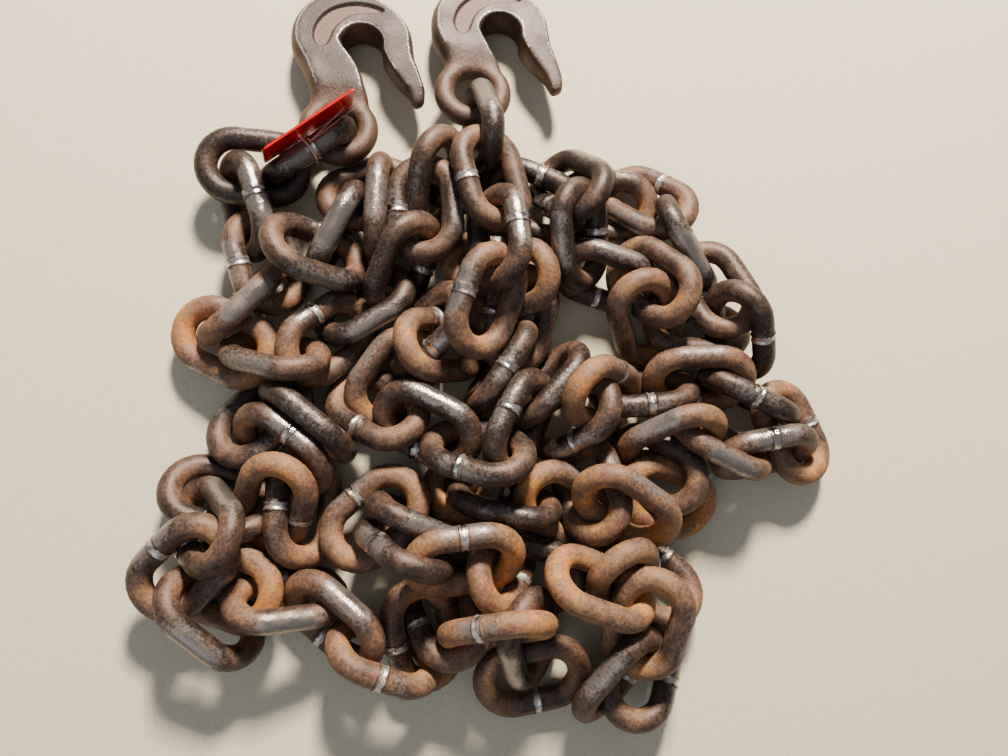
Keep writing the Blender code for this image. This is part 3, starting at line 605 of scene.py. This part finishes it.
def link_mesh(link, centre, axes):
    """Points, the marks rust, worn, weld and tone, and the points' places in the pattern."""
    turn = tau * (np.arange(BAR_SIDES) + 0.5) / BAR_SIDES
    side = 1 if chance(link, 1) < 0.5 else -1  # which straight side is welded
    bead = np.exp(-((np.abs(BAR[:, 5]) - WELD_HALF) / BEAD_WIDTH) ** 2)
    lump = WELD_HEIGHT * (0.6 + 0.8 * chance(link, 2)) * bead
    first, second = 9 * chance(link, 6), 9 * chance(link, 9)
    ragged = 0.62 + 0.25 * np.sin(3 * turn + first) + 0.13 * np.sin(5 * turn + second)
    wave = sum(np.sin(BAR[:, None, 0] * WAVES[0] * q + BAR[:, None, 1] * WAVES[1] * q + turn[None, :] * (q + 1)
                      + 6.28 * chance(link, q + 3)) for q in (1, 2)) * UNEVEN / 2
    radius = WIRE / 2 + lump[:, None] * ragged + wave
    out = radius * np.cos(turn)
    local = np.stack([BAR[:, None, 0] + BAR[:, None, 2] * out, side * (BAR[:, None, 1] + BAR[:, None, 3] * out),
                      radius * np.sin(turn) * side], -1).reshape(-1, 3)
    points = centre + local[:, 0:1] * axes[0] + local[:, 1:2] * axes[1] + local[:, 2:3] * axes[2]
    bend = np.repeat(BAR[:, 4], BAR_SIDES)
    face_out = np.tile(np.cos(turn), len(BAR))
    # rust sits in the bends, most of all inside; the outer face of the straight sides is rubbed bare
    marks = {"rust": bend * (0.72 - 0.28 * face_out) + 0.25 * (1 - bend) * (face_out < -0.5),
             "worn": (1 - bend) ** 2 * np.clip(0.35 + 0.65 * face_out, 0, 1) * (0.35 + 0.8 * chance(link, 8)),
             "weld": np.repeat(np.clip(1.6 - np.abs(BAR[:, 5]) / WELD_HALF, 0, 1), BAR_SIDES),
             "tone": np.full(len(points), TONES[link])}
    return points, marks, local + ELSEWHERE * (1 + link % PLACES) + ASIDE * link


print("weld beads are up to", round(1400 * WELD_HEIGHT, 2), "mm high")

# %% [markdown]
# How rusty a link is differs along the chain: the front of the heap has lain wettest and is orange, while the
# right side at the back is still dark. One number per link carries this to the finish.

# %% The tone of each link
TONES = []
for link in range(len(centres)):
    front = np.clip((0.03 - centres[link, 1]) / 0.2, -0.9, 0.6)
    right = rising(centres[link, 0], 0.1, 0.1) * rising(centres[link, 1], 0.0, 0.1)
    TONES.append(float(0.5 * front - 0.55 * right + 1.3 * (chance(link, 11) - 0.5)))
print("tones from", round(min(TONES), 2), "to", round(max(TONES), 2))

# %% [markdown]
# ## Rusted mild steel bar
#
# New chain is grey with mill scale. Outdoors the scale turns dark purplish brown, loose orange rust grows in the
# bends where water stays, and the sides that rub stay bare. So one material mixes dark scale, a thin semi-metal
# skin; rust, a dull powder that is no metal at all; and worn bare steel. Which of them shows comes from the
# marks on the mesh, broken up by patches about 12 mm and specks about 2 mm wide. Grit of 0.5 mm is too fine
# to show, so it is drawn at 1 mm. A noise's scale is one over the size of its grains in metres.

# %% What both steels need
COLOURS = {"data_type": "RGBA"}  # of a mix: socket 0 is the share, 6 and 7 are the colours, output 2 their mix
SMOOTH = {"interpolation_type": "SMOOTHSTEP"}  # of a map range: 0 the value, 1 and 2 its range, 3 and 4 the new


def material(name):
    """An empty node material and its tree."""
    made = bpy.data.materials.new(name)
    made.use_nodes = True
    made.node_tree.nodes.clear()
    return made, made.node_tree


def patterns(tree, marks, noises):
    """The named marks of the mesh, then a noise for each scale, detail and roughness, fixed to the metal."""
    at = add(tree, "Attribute", {"attribute_name": "bar"}, out="Vector")
    return [*(add(tree, "Attribute", {"attribute_name": mark}, out="Fac") for mark in marks),
            *(add(tree, "TexNoise", None, {"Vector": at, "Scale": scale, "Detail": detail, "Roughness": rough})
              for scale, detail, rough in noises)]


def summed(tree, *terms):
    """A sum of sockets, each times its factor, and a last plain number."""
    result = terms[-1]
    for socket, factor in terms[:-1]:
        result = add(tree, "Math", {"operation": "MULTIPLY_ADD"}, {0: socket, 1: factor, 2: result})
    return result


def steel_surface(tree, colour, metal, rough, relief, distance, strength):
    """The last nodes of a steel: its relief, its shader and the output."""
    normal = add(tree, "Bump", None, {"Height": relief, "Distance": distance, "Strength": strength})
    surface = add(tree, "BsdfPrincipled", None,
                  {"Base Color": colour, "Metallic": metal, "Roughness": rough, "Normal": normal})
    add(tree, "OutputMaterial", None, {"Surface": surface})


print("a mix lays colour 7 over colour 6")

# %% The material of the chain
RUST_SHADES = ("#3a2f2a", "#554238", "#745643", "#936b47", "#bb7f42")  # evenly from scale to loose rust


def rusted_steel_bar():
    made, tree = material("rusted_mild_steel_bar")
    rust_mark, worn, weld, tone, patch, speck, grit = patterns(
        tree, ("rust", "worn", "weld", "tone"), ((80.0, 3.0, 0.55), (420.0, 5.0, 0.65), (1100.0, 3.0, 0.6)))
    # from mill scale (0) to loose orange rust (1)
    rust = summed(tree, (rust_mark, 0.55), (tone, 0.45), (patch, 1.0), (speck, 0.45), -0.6)
    shade = add(tree, "ValToRGB", None, {"Fac": rust})
    ramp = shade.node.color_ramp
    while len(ramp.elements) < len(RUST_SHADES):
        ramp.elements.new(0.5)
    for k, element in enumerate(ramp.elements):
        element.position = k / (len(RUST_SHADES) - 1)
        element.color = linear(RUST_SHADES[k])
    rise, fall = (add(tree, "MapRange", SMOOTH, {0: weld, 1: low, 2: high})
                  for low, high in ((0.02, 0.3), (0.3, 0.6)))
    # skin between the pits, rubbed steel, painted shade along the outer foot of both beads, the bare band between
    # them
    even, bare, bead_foot_shade, band = (
        add(tree, "MapRange", SMOOTH, {0: summed(tree, *terms), 1: low, 2: high})
        for low, high, *terms in (
            (0.4, 0.62, (grit, 0.6), (speck, 0.4), 0.0),
            (0.3, 0.9, (worn, 0.8), (patch, -0.8), (speck, 0.9), (tone, -0.2), 0.0),
            (0.3, 1.0, (rise, 1.0), (fall, -1.0), (patch, 0.5), -0.25),
            (0.42, 0.85, (weld, 1.0), (speck, 2.0), (patch, -0.8), -0.75)))
    pits = add(tree, "Mix", COLOURS, {0: even, 6: linear("#c8c0bc"), 7: linear("#ffffff")}, 2)
    colour = add(tree, "Mix", {**COLOURS, "blend_type": "MULTIPLY"}, {0: 1.0, 6: shade, 7: pits}, 2)
    # the dark #2b1d16 laid along the outer foot of both beads is painted shade
    for share, code in ((bare, "#8f857f"), (bead_foot_shade, "#2b1d16"), (band, "#c2bab3")):
        colour = add(tree, "Mix", COLOURS, {0: share, 6: colour, 7: linear(code)}, 2)
    metal, rough = (add(tree, "MapRange", None, {0: rust, 1: 0.1, 2: rusty, 3: scale, 4: powder})
                    for rusty, scale, powder in ((0.7, 0.5, 0.08), (0.8, 0.38, 0.67)))
    polished = summed(tree, (bare, 0.85), (band, 0.9), 0.0)
    metal = add(tree, "Math", {"operation": "MAXIMUM"}, {0: metal, 1: polished})
    rough = summed(tree, (rough, 1.0), (bare, -0.24), (band, -0.15), (speck, 0.3), -0.12)
    steel_surface(tree, colour, metal, rough, summed(tree, (grit, 0.35), (speck, 0.65), 0.0), 0.0007, 0.7)
    return made


chain_steel = rusted_steel_bar()
print("chain material with", len(chain_steel.node_tree.nodes), "nodes")

# %% [markdown]
# ## Laying the links over the solids
#
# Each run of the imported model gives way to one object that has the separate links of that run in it. A run whose
# solid lies somewhere else would keep its solid.

# %% Build the runs
def mesh_of(name, points, faces):
    mesh = bpy.data.meshes.new(name)
    mesh.from_pydata([tuple(map(float, p)) for p in points], [], faces)
    return mesh


def dress(piece, finish):
    """Gives a piece its one material."""
    piece.data.materials.clear()
    piece.data.materials.append(finish)


def new_piece(name, points, faces, marks=None, bar=None):
    """A mesh object with smooth faces, its marks as attributes, riding on the one body."""
    mesh = mesh_of(name, points, faces)
    mesh.update()
    for key, values in (marks or {}).items():
        mesh.attributes.new(key, "FLOAT", "POINT").data.foreach_set("value", np.asarray(values, np.float32))
    if bar is not None:
        places = mesh.attributes.new("bar", "FLOAT_VECTOR", "POINT")
        places.data.foreach_set("vector", np.asarray(bar, np.float32).ravel())
    piece = put(name, mesh)
    mesh.shade_smooth()
    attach(piece, "root")
    return piece


MOST_OFF = 0.002  # between the box of a run's links and the box of its solid
laid = 0
for number, (run, node) in enumerate(zip(runs, run_nodes)):
    built = [link_mesh(link, centres[link], link_axes[link]) for link in run]
    points, bars = (np.concatenate([parts[k] for parts in built]) for k in (0, 2))
    marks = {key: np.concatenate([parts[1][key] for parts in built]) for key in built[0][1]}
    faces = [tuple(q + k * LINK_POINTS for q in face) for k in range(len(run)) for face in LINK_FACES]
    off = box_off(points, node)
    if off > MOST_OFF:
        dress(nodes[node], chain_steel)
        print(node, "keeps its solid, off by", round(1000 * off, 1), "mm")
        continue
    piece = new_piece(f"links_{number + 1:02d}", points, faces, marks, bars)
    dress(piece, chain_steel)
    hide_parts(node)
    laid += 1
print("runs laid", laid)

# %% [markdown]
# ## The forged hooks
#
# Each hook is hammered in a closed die from one bar: a ring-shaped eye, a flat shank, a deep bowl and a long
# point, with a crescent pressed into the flat cheek. The ring runs into the flat shank without a seam, which is
# tedious to model with subdivision. So a swept body and a ring are laid through each other, a voxel remesh makes
# one skin of them, and a smoothing rounds all edges the way a die does. Then the crescent is pressed in by
# moving the skin's points down.

# %% Sizes of the hooks
# Shank and point are rows of inner edge x, y, outer edge x, y and thickness, in millimetres from the middle of
# the throat. The bowl's outer edge is in degrees and millimetres.
SHANK_LEFT = ((6, -49.3, -37, -49.3, 13.5), (5.2, -41.5, -36.5, -41.5, 19), (3, -34, -38, -34, 24),
              (-2.5, -18, -44, -18, 25))
SHANK_RIGHT = ((0.2, -31.2, -42.8, -31.2, 13.5), (-2, -23.5, -42.5, -23.5, 19), (-7.5, -15, -46.5, -15, 24))
BOWL_IN = 14.3
BOWL_OUT = ((180, 52), (157.5, 55), (135, 55), (112.5, 51), (90, 45), (67.5, 41.5), (45, 39.5),
            (22.5, 38.5), (0, 37.5))
POINT = ((14.3, -5, 38, -3, 24.5), (18, -13.5, 38.6, -8, 23), (22.8, -21.5, 40.8, -14, 20.5),
         (30, -30.7, 44, -24, 17), (35, -38, 46.3, -32.5, 14), (37.2, -44.5, 46.2, -40.5, 10))
TIP_STEP = (2.2, -2.4, -1.0, -3.6)  # from the last section's edges to those of the rounded tip
TIP_THIN = 0.6
# the outline of the pressed crescent, from the middle of the throat
PRESSED = ((-28, -6.5), (-32.5, -5), (-35.5, 1), (-35.5, 9), (-31.5, 19), (-23, 28), (-10.5, 33.2), (3, 33.6),
           (15, 29.3), (14, 25.5), (3, 24.6), (-6.5, 22.4), (-14, 17.2), (-19.3, 10), (-22, 2), (-24.3, -3.5))
RECESS_DEPTH = 0.0025
PRESS_WALL = 0.0015  # width of its sloping wall
VOXEL = 0.0009  # cell of the remesh that makes one skin
DIE_STEPS = 14  # rounds of smoothing that give the edges their radius
NECK = (0.012, 0.034)  # from the eye's middle; here ring and shank run into each other
NECK_STEPS = 30
FACES_UP = 0.6  # least rise of the normal where the die pressed
FACE_LEAST = 0.006  # least height over the hook's middle there
BODY_WEAR = (0.022, 0.012)  # from the eye's middle: where the body's wear starts, and over what length it grows
EYE_RUST = (0.022, 0.012)  # the same for where the eye's rust ends
SHANK_FOOT = 0.046  # below this only the shank's two long edges are worn bright
print("bowl", HOOK_THICK * 1000, "mm thick, throat", 2 * BOWL_IN, "mm wide")

# %% The swept body of a hook
def between(rows, steps):
    """More rows, on smooth curves through the given ones."""
    rows = np.array(rows, float)
    padded = np.concatenate([2 * rows[:1] - rows[1:2], rows, 2 * rows[-1:] - rows[-2:-1]])
    out = []
    for k in range(len(rows) - 1):
        a, b, c, d = padded[k:k + 4]
        for t in (q / steps for q in range(steps)):
            quadratic = 2 * b + (c - a) * t + (2 * a - 5 * b + 4 * c - d) * t ** 2
            out.append(0.5 * (quadratic + (3 * b - a - 3 * c + d) * t ** 3))
    return out + [rows[-1]]


def section_edge():
    """A section's outline: flat cheeks at heights 1 and -1, the outer side round, the throat's side squarer."""
    upper = [(1.0, 0.0), (0.98, 0.28), (0.93, 0.54), (0.85, 0.77), (0.75, 0.93), (0.64, 1.0), (0.3, 1.0),
             (-0.3, 1.0), (-0.78, 1.0), (-0.88, 0.94), (-0.94, 0.78), (-0.98, 0.5), (-0.995, 0.25), (-1.0, 0.0)]
    return upper + [(w, -h) for w, h in reversed(upper[1:-1])]


def hook_rows(hook):
    """The sections of a hook in millimetres."""
    rows = list((SHANK_LEFT, SHANK_RIGHT)[hook])
    for t, r in BOWL_OUT:
        c, s = cos(radians(t)), sin(radians(t))
        rows.append((BOWL_IN * c, BOWL_IN * s, r * c, r * s, 1000 * HOOK_THICK))
    rows += list(POINT)
    rows.append((*(q + step for q, step in zip(rows[-1], TIP_STEP)), TIP_THIN * rows[-1][4]))
    return between(rows, 4)


print("sections of a hook", len(hook_rows(0)))

# %% One skin for body and eye
def around(steps):
    """Angles of one full turn."""
    return [tau * k / steps for k in range(steps)]


def hook_skin(hook):
    """The remeshed skin of a hook, in its own frame (from the eye's middle, z across the cheeks)."""
    throat = np.array(THROAT_FROM_EYE[hook])
    body = []
    for x1, y1, x2, y2, thick in hook_rows(hook):
        middle, half = np.array([x1 + x2, y1 + y2]) / 2000, np.array([x2 - x1, y2 - y1]) / 2000
        body.append([(*(throat + middle + w * half), h * thick / 2000) for w, h in section_edge()])
    wall = (EYE_OUTER_R - EYE_HOLE_R) / 2
    eye = [[((EYE_R + wall * cos(u)) * cos(t), (EYE_R + wall * cos(u)) * sin(t),
             EYE_THICK / 2 * sin(u)) for u in around(20)] for t in around(64)]
    points, faces = [], []
    for rings, closed in ((body, False), (eye, True)):
        own = ring_faces(len(rings), len(rings[0]), closed)
        faces += [tuple(q + len(points) for q in face) for face in own]
        points += [p for ring in rings for p in ring]
    mesh = mesh_of("hook_raw", points, faces)
    bm = bmesh.new()
    bm.from_mesh(mesh)
    bmesh.ops.recalc_face_normals(bm, faces=bm.faces[:])
    bm.to_mesh(mesh)
    bm.free()
    raw = put("hook_raw", mesh)
    remesh = raw.modifiers.new("one_skin", "REMESH")
    remesh.mode = "VOXEL"
    remesh.voxel_size = VOXEL
    smooth = raw.modifiers.new("die_radius", "SMOOTH")
    smooth.factor = 0.5
    smooth.iterations = DIE_STEPS
    skin = bpy.data.meshes.new_from_object(raw.evaluated_get(bpy.context.evaluated_depsgraph_get()))
    bpy.data.objects.remove(raw)
    bm = bmesh.new()
    bm.from_mesh(skin)
    neck = [v for v in bm.verts if NECK[0] < v.co.y < NECK[1]]
    for _ in range(NECK_STEPS):
        bmesh.ops.smooth_vert(bm, verts=neck, factor=0.5, use_axis_x=True, use_axis_y=True, use_axis_z=True)
    bm.to_mesh(skin)
    bm.free()
    return skin


print("eye", round(2000 * EYE_OUTER_R), "mm across")

# %% The pressed crescent and the hooks' marks
def depth_inside(points, polygon):
    """How far inside a closed outline each point is; 0 outside."""
    inside = np.zeros(len(points), bool)
    nearest = np.full(len(points), 1e9)
    for k in range(len(polygon)):
        (x1, y1), (x2, y2) = polygon[k - 1], polygon[k]
        crosses = (y1 > points[:, 1]) != (y2 > points[:, 1])
        inside ^= crosses & (points[:, 0] < (x2 - x1) * (points[:, 1] - y1) / ((y2 - y1) or 1e-12) + x1)
        d = np.array([x2 - x1, y2 - y1])
        f = np.clip(((points - (x1, y1)) @ d) / (d @ d), 0, 1)
        nearest = np.minimum(nearest, np.hypot(points[:, 0] - x1 - f * d[0], points[:, 1] - y1 - f * d[1]))
    return np.where(inside, nearest, 0.0)


def read_points(data, key):
    out = np.zeros(3 * len(data))
    data.foreach_get(key, out)
    return out.reshape(-1, 3)


hooks = []
for hook, node in enumerate(("hook_left", "hook_right")):
    skin = hook_skin(hook)
    local, normal = read_points(skin.vertices, "co"), read_points(skin.vertex_normals, "vector")
    throat_x, throat_y = THROAT_FROM_EYE[hook]
    outline = [(throat_x + x / 1000, throat_y + y / 1000) for x, y in between(PRESSED + PRESSED[:1], 3)[:-1]]
    f = rising(depth_inside(local[:, :2], outline), 0.0, PRESS_WALL)
    pressed = np.where((normal[:, 2] > FACES_UP) & (local[:, 2] > FACE_LEAST), f * f * (3 - 2 * f), 0)
    local[:, 2] -= RECESS_DEPTH * pressed
    # the edges of the cheek are rubbed bright, on the body (1) more than on the eye (0)
    flat = np.abs(normal[:, 2])
    sideways = np.abs(normal[:, 0]) / np.maximum(np.hypot(normal[:, 0], normal[:, 1]), 1e-9)
    on_body = rising(local[:, 1], *BODY_WEAR)
    on_body = on_body * np.where(local[:, 1] < SHANK_FOOT, sideways ** 2, 1)
    from_eye = np.hypot(local[:, 0], local[:, 1])
    marks = {"edge": np.exp(-((flat - 0.88) / 0.09) ** 2) * (0.1 + 0.9 * on_body) * (normal[:, 2] > 0),
             "cheek": rising(normal[:, 2], 0.75, 0.2),
             "hollow": np.maximum(pressed, 1 - rising(from_eye, *EYE_RUST)),
             # the crescent's sloping wall is marked for painted shade
             "wall": 4 * pressed * (1 - pressed),
             "tone": np.full(len(local), (0.0, 0.3)[hook])}
    points = [place(hook_point(hook, *p)) for p in local]
    faces = [tuple(p.vertices) for p in skin.polygons]
    piece = new_piece("forged_" + node, points, faces, marks, local + hook)
    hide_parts(node)
    hooks.append(piece)
    print(piece.name, "faces", len(faces))

# %% [markdown]
# ## Drop-forged steel
#
# A forging has a fine sandy skin from the scale that was knocked off it. Years of use give it a thin grey-brown
# patina: grey on the flat cheeks, brown on the sides, rusty in the crescent and in the eye, and almost white
# metal along the cheek's edges, where it rubs. The grain is 0.4 mm, drawn at 0.7 mm so that it shows.

# %% The material of the hooks
def forged_steel():
    made, tree = material("drop_forged_steel")
    edge, cheek, hollow, wall, tone, patch, sand, fleck = patterns(
        tree, ("edge", "cheek", "hollow", "wall", "tone"),
        ((60.0, 3.0, 0.5), (1400.0, 2.0, 0.5), (500.0, 4.0, 0.6)))
    cheek_value = summed(tree, (patch, 1.0), (fleck, 0.6), (tone, 0.8), -0.4)
    shine_value = summed(tree, (edge, 1.0), (fleck, 1.0), (sand, 0.5), (patch, 0.5), (tone, 0.4), -1.2)
    on_side, on_cheek, in_hollow, shine = (
        add(tree, "MapRange", SMOOTH, {0: value, 1: low, 2: high}) for value, low, high in (
            (patch, 0.35, 0.7), (cheek_value, 0.3, 0.8), (fleck, 0.4, 0.65), (shine_value, 0.2, 0.75)))
    sides, cheeks, hollows = (
        add(tree, "Mix", COLOURS, {0: share, 6: linear(dark), 7: linear(light)}, 2)
        for share, dark, light in ((on_side, "#3d2f28", "#5f4535"), (on_cheek, "#352c2a", "#5a4f4c"),
                                   (in_hollow, "#4b3326", "#664836")))
    colour = sides
    # the dark #2c211c on the crescent's sloping wall is painted shade
    for share, over in ((cheek, cheeks), (summed(tree, (hollow, 0.8), 0.0), hollows),
                        (summed(tree, (wall, 0.7), 0.0), linear("#2c211c")), (shine, linear("#cfc8c1"))):
        colour = add(tree, "Mix", COLOURS, {0: share, 6: colour, 7: over}, 2)
    metal = summed(tree, (shine, 0.4), (hollow, -0.3), 0.5)
    rough = summed(tree, (shine, -0.22), (fleck, 0.35), 0.36)
    steel_surface(tree, colour, metal, rough, summed(tree, (sand, 0.6), (fleck, 0.5), 0.0), 0.0006, 0.75)
    return made


hook_steel = forged_steel()
for piece in hooks:
    dress(piece, hook_steel)
print("hook material with", len(hook_steel.node_tree.nodes), "nodes")

# %% [markdown]
# ## The red tag and its tie
#
# A tag of thin, clear red acrylic is tied to the first link and leans against it. Light goes through it, so it
# glows where the light stands behind it. The solid stands parallel to the link, but the real tag hangs back a
# little, so its plate is laid anew from the solid's points, turned about the lower edge.

# %% Red acrylic and clear nylon
def clear_plastic(name, code, rough, through, ior):
    """A plastic that lets a part of the light through."""
    made, tree = material(name)
    surface = add(tree, "BsdfPrincipled", None,
                  {"Base Color": linear(code), "Roughness": rough, "Transmission Weight": through, "IOR": ior})
    add(tree, "OutputMaterial", None, {"Surface": surface})
    return made


red_acrylic = clear_plastic("moulded_red_acrylic", "#d40206", 0.12, 0.25, 1.49)
clear_nylon = clear_plastic("clear_nylon_cord", "#e0b8ae", 0.25, 0.5, 1.53)
dress(nodes["tag_tie"], clear_nylon)
print("plastics", red_acrylic.name, clear_nylon.name)

# %% The tag, leaning back
TAG_LEAN = radians(10)
SHARP = radians(40)
along, across = link_axes[HOOKED[0]][:2]
upward = across if across[2] > 0 else -across
tag_side = np.cross(along, upward)
tag_side = tag_side if tag_side[1] > 0 else -tag_side
plate = nodes["tag"]
points = np.array([tuple(plate.matrix_world @ v.co) for v in plate.data.vertices])
height, depth = points @ upward, points @ tag_side
height, depth = height - height.min(), depth - depth.min()
points += (height * (cos(TAG_LEAN) - 1) - depth * sin(TAG_LEAN))[:, None] * upward
points += (depth * (cos(TAG_LEAN) - 1) + height * sin(TAG_LEAN))[:, None] * tag_side
leaning = new_piece("leaning_tag", points, [tuple(face.vertices) for face in plate.data.polygons])
leaning.data.set_sharp_from_angle(angle=SHARP)
dress(leaning, red_acrylic)
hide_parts("tag")
print("the tag's top edge moved", round(1000 * height.max() * sin(TAG_LEAN), 1), "mm")

# %% [markdown]
# The tie was cut off after its knot, so two stiff ends stand off over the link towards the hook. They are given
# in the tag's own directions: along the first link, up across it, and to the tag's side of it.

# %% The loose ends of the tie
CORD_R = 0.0004
CORD_SIDES = 8
CORD_STEPS = 8
THINNER = 0.6  # how much of its thickness an end loses towards its cut
KNOT_RISE = 0.0025  # over the first link
KNOT_ASIDE = 0.004
LOOSE_ENDS = ((0.034, 0.004, 0.006), (0.039, 0.001, 0.002))
knot = centres[HOOKED[0]] + (BEND + WIRE / 2 + KNOT_RISE) * upward + KNOT_ASIDE * tag_side
for number, (back, rise, aside) in enumerate(LOOSE_ENDS):
    points = []
    for f in (k / CORD_STEPS for k in range(CORD_STEPS + 1)):
        middle = knot - back * f * along + rise * f * upward + aside * f * tag_side
        thin = CORD_R * (1 - THINNER * f)
        points += [middle + thin * (cos(u) * upward + sin(u) * tag_side) for u in around(CORD_SIDES)]
    piece = new_piece(f"tie_end_{number + 1}", points, ring_faces(CORD_STEPS + 1, CORD_SIDES, False))
    dress(piece, clear_nylon)
print("loose ends", [round(1000 * row[0]) for row in LOOSE_ENDS], "mm long")

# %% [markdown]
# ## Floor and light
#
# A plain pale floor and soft light. The picture's low light comes from behind the heap, so the key lamp stands
# there too, a little higher and softer. A weak wide lamp in front and the room fill the shadows.

# %% Floor, lamps and room
FLOOR_Z = -0.0004  # just under the lowest wires
corners = [(x, y, FLOOR_Z) for x, y in ((-4, -4), (4, -4), (4, 4), (-4, 4))]
floor = put("floor", mesh_of("floor", corners, [(0, 1, 2, 3)]))
pale, tree = material("pale_floor")
where = add(tree, "TexCoord", out="Object")
grain = add(tree, "TexNoise", None, {"Vector": where, "Scale": 700.0, "Detail": 2.0})
share = add(tree, "MapRange", SMOOTH, {0: grain, 1: 0.3, 2: 0.7})
tint = add(tree, "Mix", COLOURS, {0: share, 6: linear("#c3baa2"), 7: linear("#cfc6ae")}, 2)
surface = add(tree, "BsdfPrincipled", None, {"Base Color": tint, "Roughness": 0.9})
add(tree, "OutputMaterial", None, {"Surface": surface})
dress(floor, pale)


def lamp(name, spot, size, watts, code):
    """A square soft lamp that looks at the heap."""
    light = bpy.data.lights.new(name, "AREA")
    light.size = size
    light.energy = watts
    light.color = linear(code)[:3]
    made = put(name, light)
    made.location = spot
    made.rotation_euler = (-Vector(spot)).to_track_quat("-Z", "Y").to_euler()


lamp("key_lamp", (0.15, 1.35, 1.2), 0.28, 140.0, "#fff2e0")
lamp("front_lamp", (-0.9, -1.2, 1.6), 1.6, 9.0, "#eef3ff")
room = bpy.data.worlds.new("room")
room.use_nodes = True
background = room.node_tree.nodes["Background"]
background.inputs["Color"].default_value = linear("#dfe8f5")
background.inputs["Strength"].default_value = 0.33
bpy.context.scene.world = room
